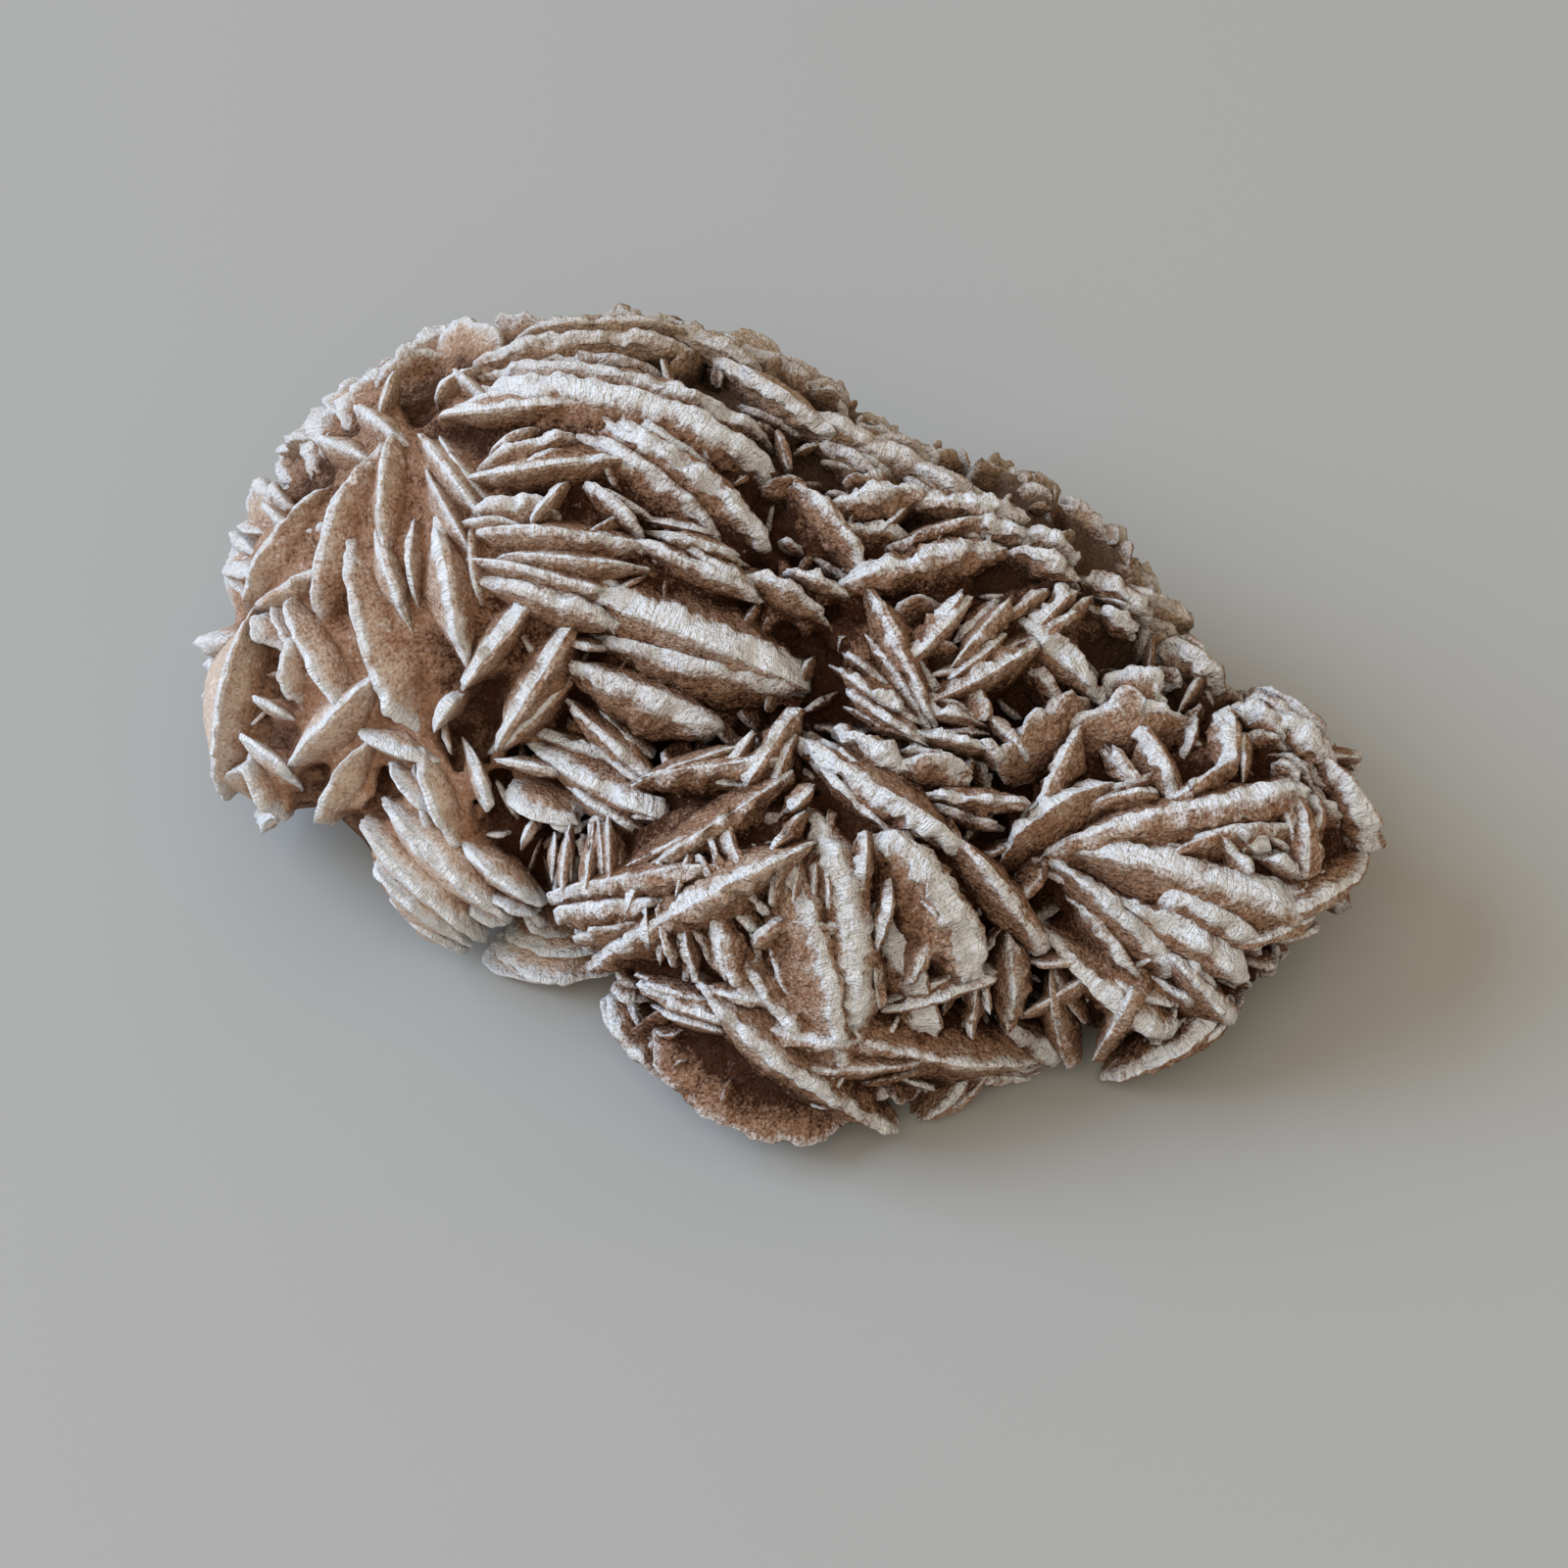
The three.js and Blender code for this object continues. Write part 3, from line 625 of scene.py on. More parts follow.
def blade_outline(angle, picks, flare):
    """Share of the plain ellipse that a blade's rim reaches at each angle."""
    square = between(picks[11], SQUARENESS) + 4 * flare * np.clip(np.cos(angle), 0, 1)
    outline = (np.abs(np.cos(angle))**square + np.abs(np.sin(angle))**square)**(-1 / square)
    outline += 0.02 * np.cos(2 * angle + 6.3 * picks[0]) + 0.02 * np.cos(3 * angle + 6.3 * picks[1])
    if picks[2] < SNAPPED_SHARE:
        snapped = math.radians(between(picks[3], SNAP_ANGLE))
        if picks[4] < 0.5:
            snapped = math.pi - snapped
        aside = np.maximum(np.cos(angle - snapped), 1e-3)
        outline = np.minimum(outline, between(picks[5], SNAP_REACH) / aside)
    return outline


def swell(inset, slope, blade):
    """How much thicker one side of a blade is, this far in from its rim's edge."""
    flare = FOOT_FLARE * (1 + KEEN_FLARE * blade.sharp) * min(blade.half / FULL_FLARE_HALF, 1)
    grown = (slope + KEEN_SLOPE * blade.sharp) * inset + flare * inset**2
    most = min(MOST_SWELL, (PLAIN_SPREAD + KEEN_SPREAD * blade.sharp) * blade.half)
    return grown / (1 + grown / most)


def blade_sections(blade, angle, picks):
    """How far in and how far off the mid-plane each ring of each face lies, and the lip there."""
    mean = math.sqrt(blade.half * blade.reach)
    thick = np.clip((np.sin(angle) - TAPER[0]) / (TAPER[1] - TAPER[0]), 0, 1)**0.8
    flared = min(2.2 * blade.flare, 0.9) * np.clip(np.cos(angle), 0, 1)
    pointed = between(picks[6], POINTED) * (1 - flared)
    lip = LIP_PER_CREST * blade.crest * (1 - KEEN_THINNING * blade.sharp)
    lip = lip * (1 - pointed * (1 - thick))
    lip = np.minimum(lip * (1 + blade.flare * np.cos(angle)), MOST_LIP * mean)
    ridge = swing(picks[9], RIDGE_SHIFT)
    fall = between(picks[7], BEVEL_FALL)
    slope = between(picks[8], BODY_SLOPE)
    over_bevel = np.array(blade.detail["bevel"])[:, None]
    innermost = INNER_RING * mean
    body = np.array([inset for inset in blade.detail["body"] if inset < innermost])[:, None]
    sections = []
    for side in (1, -1):
        span = lip * (1 - side * ridge)
        drop = np.minimum(fall * span, MOST_DROP * mean)
        insets = np.concatenate([drop * over_bevel, drop + body + 0 * lip])
        heights = np.concatenate([span * over_bevel**0.85, span + swell(body, slope, blade)])
        middle = (span + swell(innermost, slope, blade)).mean()
        sections.append((side, drop, insets, heights, middle))
    return mean, ridge * lip, sections


def blade_surface(blade, draw):
    """Both faces of a blade as rings of points from the rim inwards, joined into quads."""
    picks = draw.uniform(size=12)
    angle = blade_columns(blade, blade.detail["step"])
    outline = blade_outline(angle, picks, blade.flare)
    mean, ridge, sections = blade_sections(blade, angle, picks)
    across = np.cos(angle) * blade.half * outline
    up = np.sin(angle) * blade.reach * outline
    plane = across[:, None] * blade.along + up[:, None] * blade.outward
    radial = ((np.cos(angle) * blade.reach)[:, None] * blade.along
              + (np.sin(angle) * blade.half)[:, None] * blade.outward)
    radial /= np.linalg.norm(radial, axis=1, keepdims=True)
    way = np.linalg.norm(np.diff(plane, axis=0, prepend=plane[:1]), axis=1)
    way = np.cumsum(way) + WAYS_APART * picks[10]
    faces = []
    for side, drop, insets, heights, middle in sections:
        flat = (1 - insets / mean)[:, :, None] * plane[None]
        grid = blade.centre + flat + (side * heights + ridge)[:, :, None] * blade.facing
        first = 0 if side == 1 else 1
        # Painted shade on a face turned away from the window light: its rim distance grows, so it is
        # coloured less pale and browner
        shade_push = SHADED_SIDE_PUSH * max(0, -side * blade.facing @ LIT_WAY)
        grid = grid[first:]
        faces.append({
            "points": grid.reshape(-1, 3),
            "radial": np.broadcast_to(radial, grid.shape).reshape(-1, 3),
            "side": np.full(grid.shape[0] * grid.shape[1], float(side)),
            "inset": insets[first:].ravel(),
            "rim": (insets - drop)[first:].ravel() + shade_push,
            "width": np.tile(np.maximum(heights[len(blade.detail["bevel"]) - 1], 0.2), len(grid)),
            "way": np.tile(way, len(grid)),
        })
        faces.append({
            "points": (blade.centre + (side * middle + ridge.mean()) * blade.facing)[None],
            "radial": np.zeros((1, 3)), "side": np.array([float(side)]),
            "inset": np.array([mean]), "rim": np.array([mean]), "width": np.array([1.0]),
            "way": np.array([way[0]]),
        })
    surface = {key: np.concatenate([face[key] for face in faces]) for key in faces[0]}
    surface["facing"] = np.broadcast_to(blade.facing, surface["points"].shape)
    surface["strand"] = np.full(len(surface["rim"]), STRANDS_APART * draw.uniform())
    surface["rough"] = np.full(len(surface["rim"]), blade.rough)
    surface.update(blade_faces(len(sections[0][2]), len(angle)))
    return surface


def blade_faces(ring_count, column_count):
    """Quads between the rings of both faces, and the triangles round their middles."""
    columns = np.arange(column_count)
    following = np.roll(columns, -1)
    front = [row * column_count + columns for row in range(ring_count)]
    front_middle = ring_count * column_count
    back_start = front_middle + 1
    back = [front[0]] + [back_start + row * column_count + columns for row in range(ring_count - 1)]
    back_middle = back_start + (ring_count - 1) * column_count
    quads = []
    for outer, inner in zip(front, front[1:]):
        quads.append(np.stack([outer, outer[following], inner[following], inner], 1))
    for outer, inner in zip(back, back[1:]):
        quads.append(np.stack([outer, inner, inner[following], outer[following]], 1))
    last_front, last_back = front[-1], back[-1]
    middles = np.stack([
        np.stack([last_front, last_front[following], np.full(column_count, front_middle)], 1),
        np.stack([last_back[following], last_back, np.full(column_count, back_middle)], 1),
    ]).reshape(-1, 3)
    return {"quads": np.concatenate(quads), "triangles": middles}


def join_surfaces(surfaces):
    """Many surfaces as one, with the corners of their faces counted on."""
    joined = {}
    counts = np.cumsum([0] + [len(s["points"]) for s in surfaces])
    for key in surfaces[0]:
        if key in ("quads", "triangles"):
            joined[key] = np.concatenate([s[key] + start for s, start in zip(surfaces, counts)])
        else:
            joined[key] = np.concatenate([s[key] for s in surfaces])
    return joined


# Layers of noise on a blade: height and width of lumps in mm, then a seed of the layer's own.
RIM_SWAY = ((0.26, 4.6, 0),)
RIM_ROUGH = ((0.30, 1.7, 1), (0.28, 0.8, 2))
GROOVES = ((0.24, 1.5, 4), (0.17, 0.8, 9))
FACE_LUMPS = ((0.17, 1.5, 5), (0.22, 0.8, 6), (0.13, 0.4, 8))
FACE_WARP = ((0.40, 9.0, 7),)
CHIP_LAYER = ((1.0, 2.4, 3),)
CHIP_DEPTH = (1.8, 2.7)  # where clean and where crusty, as the next two
CHIP_FROM = (0.36, 0.24)
LUMP_SHARE = (0.5, 1.6)
RIM_FADE = 1.3  # how fast rim roughness, grooves and the smooth very edge die away, in mm
GROOVE_FADE = 2.5
EDGE_FADE = 0.3
EDGE_GROOVE = 0.5  # how much of the grooves' depth shows as a notched edge
SIDES_APART = 9.0  # keeps the grooves of a blade's two faces apart
GROOVE_STRETCH = 0.15  # how fast the grooves change inwards, over how fast along the rim
LUMPY_WIDTH = 0.8  # blades thinner than this are less lumpy


def weather(surface, seed):
    """Waves, chips and sandy roughness on plain blade surfaces."""
    points = surface["points"]
    inset = surface["inset"]
    rough = surface["rough"]
    crust = crust_share(points)
    at_rim = np.exp(-inset / RIM_FADE)
    off_rim = 1 - np.exp(-inset / EDGE_FADE)
    wave = layers(points, RIM_SWAY, seed) + rough * layers(points, RIM_ROUGH, seed)
    chip = layers(points, CHIP_LAYER, seed) - between(crust, CHIP_FROM)
    chip = between(crust, CHIP_DEPTH) * np.maximum(chip, 0)
    groove_spots = [surface["way"], SIDES_APART * surface["side"], GROOVE_STRETCH * inset]
    groove = layers(np.stack(groove_spots, 1), GROOVES, seed)
    groove *= np.exp(-np.maximum(surface["rim"], 0) / GROOVE_FADE)
    lumps = layers(points, FACE_LUMPS, seed) * between(crust, LUMP_SHARE)
    outward = (wave - chip) * at_rim + EDGE_GROOVE * groove * (1 - off_rim)
    thin = np.minimum(surface["width"] / LUMPY_WIDTH, 1)
    sideways = layers(points, FACE_WARP, seed)
    sideways += surface["side"] * off_rim * thin * (rough * lumps + groove)
    return points + outward[:, None] * surface["radial"] + sideways[:, None] * surface["facing"]


SHOWN = {name: show_blades(rows, ROUGHNESS[name], FLARE.get(name, 0), KEENNESS.get(name, 0))
         for name, rows in CLUSTERS.items()}
TWINS = twin_blades([blade for group in SHOWN.values() for blade in group], 41, MEDIUM)
HIDDEN = hidden_blades()
BACK_TWINS = twin_blades(HIDDEN[0], 42, COARSE)
CRYSTALS = crevice_crystals()


# ---------------------------------------------------------------- meshes

GROUND_REST = 0.05  # nothing reaches below this, in mm over the table
GROUND_SOFTNESS = 0.25


def settle(points):
    """Keeps points above the table, squeezing what would reach below it."""
    height = points[:, 2]
    rise = np.clip((height - GROUND_REST) / GROUND_SOFTNESS, -30, 30)
    settled = points.copy()
    settled[:, 2] = np.where(
        height < GROUND_REST + 8 * GROUND_SOFTNESS,
        GROUND_REST + GROUND_SOFTNESS * np.log1p(np.exp(rise)), height)
    return settled


def make_mesh(name, points, quads, triangles, facts):
    """A mesh from points in mm, with facts about each point that the material reads."""
    mesh = bpy.data.meshes.new(name)
    placed = (points + CENTRING) * MM
    corners = np.concatenate([quads.ravel(), triangles.ravel()]).astype(np.int32)
    starts = np.concatenate([
        4 * np.arange(len(quads)), 4 * len(quads) + 3 * np.arange(len(triangles))])
    mesh.vertices.add(len(placed))
    mesh.vertices.foreach_set("co", placed.astype(np.float32).ravel())
    mesh.loops.add(len(corners))
    mesh.loops.foreach_set("vertex_index", corners)
    mesh.polygons.add(len(starts))
    mesh.polygons.foreach_set("loop_start", starts.astype(np.int32))
    mesh.update(calc_edges=True)
    mesh.validate()
    mesh.shade_smooth()
    for key, values in facts.items():
        kind = "FLOAT_VECTOR" if values.ndim == 2 else "FLOAT"
        attribute = mesh.attributes.new(key, kind, "POINT")
        attribute.data.foreach_set(
            "vector" if values.ndim == 2 else "value", values.astype(np.float32).ravel())
    return mesh


def add_piece(name, mesh):
    piece = bpy.data.objects.new(name, mesh)
    bpy.context.scene.collection.objects.link(piece)
    mesh.materials.append(bpy.data.materials[MATERIAL])
    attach(piece, BODY)
    return piece


def honey_share(points):
    """Where the gypsum is warmer and barely stained: the left end and its foot."""
    return smooth(-12, -36, points[:, 0]) * between(smooth(38, 18, points[:, 2]), (0.35, 1))


def low_front_stain_and_shade_share(points):
    """Where the blades of the low front are browner: partly real staining, partly painted shade under the
    overhanging blades.
    """
    low_front = smooth(16, 9, points[:, 2]) * smooth(-22, -12, points[:, 0])
    return low_front * smooth(0, -8, points[:, 1])


def sandy_share(points):
    """Where pale sand clings over whole blades: the far side, less so at its clean end."""
    away = smooth(0.62, 0.1, (points - [0, 0, 16]) @ OUT_AXIS / 22) * smooth(-6, 6, points[:, 1])
    return away * between(crust_share(points), (0.3, 1))


def finish_facts(points):
    """What the material is told about the part of the rose that points are on."""
    shares = {"honey": honey_share, "low_front_stain_and_shade": low_front_stain_and_shade_share, "sandy": sandy_share,
              "crust": crust_share}
    return {name: share(points) for name, share in shares.items()}


def grow_blades(name, blades, seed):
    """One piece from a list of blades."""
    draw = np.random.default_rng(seed)
    surface = join_surfaces([blade_surface(blade, draw) for blade in blades])
    points = settle(weather(surface, seed))
    rim_way = np.stack([surface["way"], surface["rim"] * surface["side"], surface["strand"]], 1)
    facts = {"rim_way": rim_way, "rim": surface["rim"], "depth": -skin_distance(points),
             **finish_facts(points)}
    return add_piece(name, make_mesh(name, points, surface["quads"], surface["triangles"], facts))


# ---------------------------------------------------------------- sand

BED_VOXEL = 0.6
BED_MERGE = 0.3
BED_BLEND = 0.8
BED_HIDE = 0.30  # how far the bed stays inside the blades' faces
SAND_FILL = (5.1, 5.8)  # how deep the sand lies where the rose is clean and where it is crusty
SAND_CLIMB = (2.5, 2.2)  # how far the bed runs up a blade's sides, likewise
BED_LUMPS = ((1.0, 3.4, 0), (0.9, 1.9, 1), (0.5, 1.2, 2))
BED_LUMP_SHARE = (0.12, 0.72)  # likewise
BED_SEED = 90
BED_GROUND = 0.4  # lowest that the bed reaches
BLADE_BODY = 0.36  # half a blade's thickness at its edge over its crest, as the bed takes it
FOOT_STEPS = (1, 6)  # the bed begins to spread this far in from a rim, and stops there
BED_RIM = 5.0  # the sand is coloured like a face this far in from a rim
BED_REACH = 4.0  # the grid holds distances up to this
BED_BOX = np.array([(-64, -42, -1), (64, 52, 52)], float)
BED_FOOT = (0.06, 0.015)  # how fast it spreads from a blade with depth, per mm, likewise


def blade_distance(points, blade, foot):
    """Rough distance from points to the body of a blade, below zero inside."""
    offset = points - blade.centre
    across = offset @ blade.along / blade.half
    up = offset @ blade.outward / blade.reach
    off_plane = np.abs(offset @ blade.facing)
    ring = np.sqrt(across**2 + up**2)
    mean = math.sqrt(blade.half * blade.reach)
    inside = np.clip(1 - ring**2, 0, 1)
    inset = np.clip((1 - ring) * mean, 0, None)
    body = (blade.crest * BLADE_BODY + swell(inset, BODY_SLOPE[0], blade)) * inside**0.5
    body += foot * (np.clip(inset, *FOOT_STEPS) - FOOT_STEPS[0])**2
    return np.where(ring < 1, np.maximum(off_plane - body, (ring - 1) * mean),
                    np.hypot((ring - 1) * mean, off_plane))


def sand_bed(blades):
    """The sandy core, run up softly against the blades, as one closed mesh from a grid."""
    low, high = BED_BOX
    counts = np.ceil((high - low) / BED_VOXEL).astype(int)
    axes = [start + BED_VOXEL * np.arange(count) for start, count in zip(low, counts)]
    grid = np.stack(np.meshgrid(*axes, indexing="ij"), -1).reshape(-1, 3)
    depth = -skin_distance(grid)
    crust = crust_share(grid)
    fill = between(crust, SAND_FILL)
    core = np.minimum(fill - depth, lobe_distances(grid, CORE_LINKS).min(1))
    closeness = np.exp(-np.clip(core / BED_BLEND, -20, 40)).reshape(counts)
    shaped = grid.reshape(*counts, 3)
    for blade in blades:
        size = max(blade.half, blade.reach) + 2
        first = np.clip(((blade.centre - size - low) / BED_VOXEL).astype(int), 0, counts)
        last = np.clip(((blade.centre + size - low) / BED_VOXEL).astype(int) + 1, 0, counts)
        part = tuple(slice(a, b) for a, b in zip(first, last))
        spots = shaped[part].reshape(-1, 3)
        if not len(spots):
            continue
        foot = between(crust_share(blade.centre[None])[0], BED_FOOT)
        away = blade_distance(spots, blade, foot)
        closeness[part] += np.exp(-np.clip(away / BED_BLEND, -20, 40)).reshape(
            closeness[part].shape)
    level = (-BED_BLEND * np.log(closeness)).ravel() + BED_HIDE
    level = np.maximum(level, fill - between(crust, SAND_CLIMB) - depth)
    level += layers(grid, BED_LUMPS, BED_SEED) * between(crust, BED_LUMP_SHARE)
    level = np.maximum(level, BED_GROUND - grid[:, 2])
    field = openvdb.FloatGrid(BED_REACH)
    field.copyFromArray(
        np.clip(level, -BED_REACH, BED_REACH).reshape(counts).astype(np.float32))
    points, triangles, quads = field.convertToPolygons(isovalue=0.0, adaptivity=BED_MERGE)
    return low + BED_VOXEL * points.astype(float), quads[:, ::-1], triangles[:, ::-1]


# ---------------------------------------------------------------- specks of sand

GRAIN_RADIUS = (0.17, 0.42)  # radius of a grain in mm
GRAIN_STRETCH = (0.7, 1.3)
GRAIN_DEEPEST = 4.5
GRAIN_LOWEST = 1.0
GRAINS_AT_RIM = 0.12  # chance there, and how it grows inwards per mm
GRAINS_INWARDS = 0.2
GRAINS_OFF_PATCHES = 0.15
GRAIN_PATCH = 5.0
GRAIN_FACES = np.array([
    (0, 2, 4), (2, 1, 4), (1, 3, 4), (3, 0, 4), (2, 0, 5), (1, 2, 5), (3, 1, 5), (0, 3, 5)])
GRAIN_CORNERS = np.array([(1, 0, 0), (-1, 0, 0), (0, 1, 0), (0, -1, 0), (0, 0, 1), (0, 0, -1)])


def mesh_facts(piece, name, width=1):
    """A fact stored on each point of a piece, as numbers or as rows of width numbers."""
    attribute = piece.data.attributes[name]
    values = np.empty(len(attribute.data) * width)
    attribute.data.foreach_get("value" if width == 1 else "vector", values)
    return values if width == 1 else values.reshape(-1, width)


def grains(names, count, seed):
    """Fine specks stuck to the crusty blades and the sand between them."""
    draw = np.random.default_rng(seed)
    hosts = [bpy.data.objects[name] for name in names]
    spots = np.concatenate([mesh_facts(host, "position", 3) / MM - CENTRING for host in hosts])
    rims = np.concatenate([mesh_facts(host, "rim") for host in hosts])
    depth = -skin_distance(spots)
    likely = crust_share(spots) * (depth < GRAIN_DEEPEST) * (spots[:, 2] > GRAIN_LOWEST)
    likely *= np.clip(GRAINS_AT_RIM + GRAINS_INWARDS * rims, 0, 1)
    likely *= GRAINS_OFF_PATCHES + (noise(spots, GRAIN_PATCH, seed) > 0.05)
    chosen = draw.choice(len(spots), count, replace=False, p=likely / likely.sum())
    radius = between(draw.uniform(size=count)**2, GRAIN_RADIUS)
    spin = draw.normal(size=(count, 3, 3))
    first = unit(spin[:, 0])
    second = unit(np.cross(first, spin[:, 1]))
    axes = np.stack([first, second, np.cross(first, second)], 1)
    stretch = draw.uniform(*GRAIN_STRETCH, size=(count, 6, 1))
    corners = (GRAIN_CORNERS[None] * stretch) @ axes * radius[:, None, None]
    points = settle((spots[chosen][:, None] + corners).reshape(-1, 3))
    triangles = (GRAIN_FACES[None] + 6 * np.arange(count)[:, None, None]).reshape(-1, 3)
    each = np.repeat(chosen, 6)
    facts = {"rim_way": points, "rim": rims[each], "depth": depth[each], **finish_facts(points)}
    mesh = make_mesh("sand_grains", points, np.empty((0, 4), int), triangles, facts)
    return add_piece("sand_grains", mesh)


# ---------------------------------------------------------------- materials

class Nodes:
    """Short calls that add nodes to a tree and link them."""

    def __init__(self, tree):
        self.tree = tree

    def add(self, kind, inputs=None, **settings):
        node = self.tree.nodes.new(kind)
        for key, value in settings.items():
            setattr(node, key, value)
        for key, value in (inputs or {}).items():
            if isinstance(value, bpy.types.NodeSocket):
                self.tree.links.new(value, node.inputs[key])
            else:
                node.inputs[key].default_value = value
        return node

    def group(self, name, inputs):
        return self.add("ShaderNodeGroup", inputs, node_tree=bpy.data.node_groups[name]).outputs

    def finish(self, inputs):
        shader = self.add("ShaderNodeBsdfPrincipled", inputs)
        self.add("ShaderNodeOutputMaterial", {0: shader.outputs[0]})

    def fact(self, name, output="Fac"):
        return self.add("ShaderNodeAttribute", attribute_name=name).outputs[output]

    def maths(self, operation, first, second):
        return self.add("ShaderNodeMath", {0: first, 1: second}, operation=operation).outputs[0]

    def plus(self, first, *others):
        for other in others:
            first = self.maths("ADD", first, other)
        return first

    def minus(self, first, second):
        return self.maths("SUBTRACT", first, second)

    def times(self, first, second):
        return self.maths("MULTIPLY", first, second)

    def over(self, first, second):
        return self.maths("DIVIDE", first, second)

    def ramp(self, value, low, high, out_low=0.0, out_high=1.0):
        node = self.add("ShaderNodeMapRange", {
            "Value": value, "From Min": low, "From Max": high,
            "To Min": out_low, "To Max": out_high}, interpolation_type="SMOOTHSTEP")
        return node.outputs["Result"]

    def mix(self, share, first, second, blend="MIX"):
        node = self.add("ShaderNodeMix", {0: share, 6: first, 7: second}, data_type="RGBA",
                        blend_type=blend)
        return node.outputs[2]

    def noise(self, spots, scale, detail=2.0, roughness=0.5):
        node = self.add("ShaderNodeTexNoise", {
            "Vector": spots, "Scale": scale, "Detail": detail, "Roughness": roughness})
        return node.outputs["Fac"]


def new_group(name, inputs, outputs):
    """A shader node group with float, colour or vector sockets, each given as (name, kind, value)."""
    tree = bpy.data.node_groups.new(name, "ShaderNodeTree")
    kinds = {"value": "NodeSocketFloat", "colour": "NodeSocketColor", "vector": "NodeSocketVector"}
    for label, kind, value in inputs:
        socket = tree.interface.new_socket(label, in_out="INPUT", socket_type=kinds[kind])
        if value is not None:
            socket.default_value = value
    for label, kind in outputs:
        tree.interface.new_socket(label, in_out="OUTPUT", socket_type=kinds[kind])
    return tree, tree.nodes.new("NodeGroupInput"), tree.nodes.new("NodeGroupOutput")


def rim_streaks_group():
    """Fine parallel streaks that cross a blade's rim."""
    tree, given, result = new_group(
        "Rim streaks", [("Way", "vector", None), ("Spacing", "value", 0.26), ("Waver", "value", 0.5)],
        [("Height", "value")])
    nodes = Nodes(tree)
    split = nodes.add("ShaderNodeSeparateXYZ", {0: given.outputs["Way"]})
    waver = nodes.times(nodes.noise(given.outputs["Way"], 0.9), given.outputs["Waver"])
    along = nodes.over(nodes.plus(split.outputs[0], waver), given.outputs["Spacing"])
    across = nodes.times(split.outputs[1], 0.55)
    spots = nodes.add("ShaderNodeCombineXYZ", {0: along, 1: across, 2: split.outputs[2]})
    streaks = nodes.noise(spots.outputs[0], 1.0, 3.0, 0.6)
    tree.links.new(nodes.ramp(streaks, 0.28, 0.72), result.inputs["Height"])
    return tree


def sand_grain_group():
    """Sand grains: a height, a mask of painted shade in the hollows between them, sparse dark specks and
    soft patches.
    """
    tree, given, result = new_group(
        "Sand grain", [("Place", "vector", None), ("Grain size", "value", 0.35)],
        [(label, "value") for label in ("Height", "Pit shade", "Dark specks", "Pale specks", "Patches")])
    nodes = Nodes(tree)
    scale = nodes.over(1.0, nodes.times(given.outputs["Grain size"], MM))
    place = given.outputs["Place"]
    cells = nodes.add("ShaderNodeTexVoronoi", {"Vector": place, "Scale": scale})
    round_top = nodes.ramp(cells.outputs["Distance"], 0.05, 0.75, 1.0, 0.0)
    fine = nodes.noise(place, nodes.times(scale, 0.9), 4.0, 0.72)
    height = nodes.plus(nodes.times(round_top, 0.18), fine)
    tint = nodes.add("ShaderNodeSeparateColor", {0: cells.outputs["Color"]}).outputs
    results = {
        "Height": height,
        "Pit shade": nodes.ramp(height, 0.56, 0.34),
        "Dark specks": nodes.ramp(tint[0], 0.93, 0.98),
        "Pale specks": nodes.ramp(tint[1], 0.80, 0.95),
        "Patches": nodes.noise(place, nodes.times(scale, 0.15), 3.0, 0.6),
    }
    for label, value in results.items():
        tree.links.new(value, result.inputs[label])
    return tree


CRUMB_SIZE = 0.75
BUMP_DEPTH = 0.5
STREAK_HEIGHT = 0.55  # over the grains' height
FACE_POLISH = 0.6  # how far the clearer faces' grains are smoothed away


def new_material(name):
    material = bpy.data.materials.new(name)
    material.use_nodes = True
    material.node_tree.nodes.clear()
    return material, Nodes(material.node_tree)


def colour(settings, name):
    return (*getattr(settings, name), 1.0)


def rose_faces(nodes, settings, grain_hollow_shade, patches, rim, depth):
    """Colour of the blades' faces, and how deep they lie: tan turning brown and then near black deeper
    under the skin and further from the rim, partly real sand staining and partly painted shade of the
    gaps.
    """
    honey = nodes.fact("honey")
    # Browner with depth under the skin, distance from the rim, the low front and the grain hollows:
    # partly the faces' real sand staining, partly painted shade down in the gaps, under the overhangs and
    # between grains.
    sunk_stain_and_shade = nodes.plus(
        nodes.times(depth, 0.165), nodes.times(rim, 0.06), nodes.times(patches, 1.1),
        nodes.times(nodes.fact("low_front_stain_and_shade"), 0.15), nodes.times(grain_hollow_shade, 1.2),
        nodes.times(nodes.fact("crust"), 0.20), nodes.times(honey, -0.26))
    tan = nodes.mix(honey, colour(settings, "tan"), colour(settings, "honey"))
    face = nodes.mix(nodes.ramp(sunk_stain_and_shade, 0.0, 0.65), tan, colour(settings, "brown"))
    # Near black at the bottom of the gaps: painted shade of the crevices.
    return nodes.mix(nodes.ramp(sunk_stain_and_shade, 0.58, 1.15), face, colour(settings, "crevice")), sunk_stain_and_shade


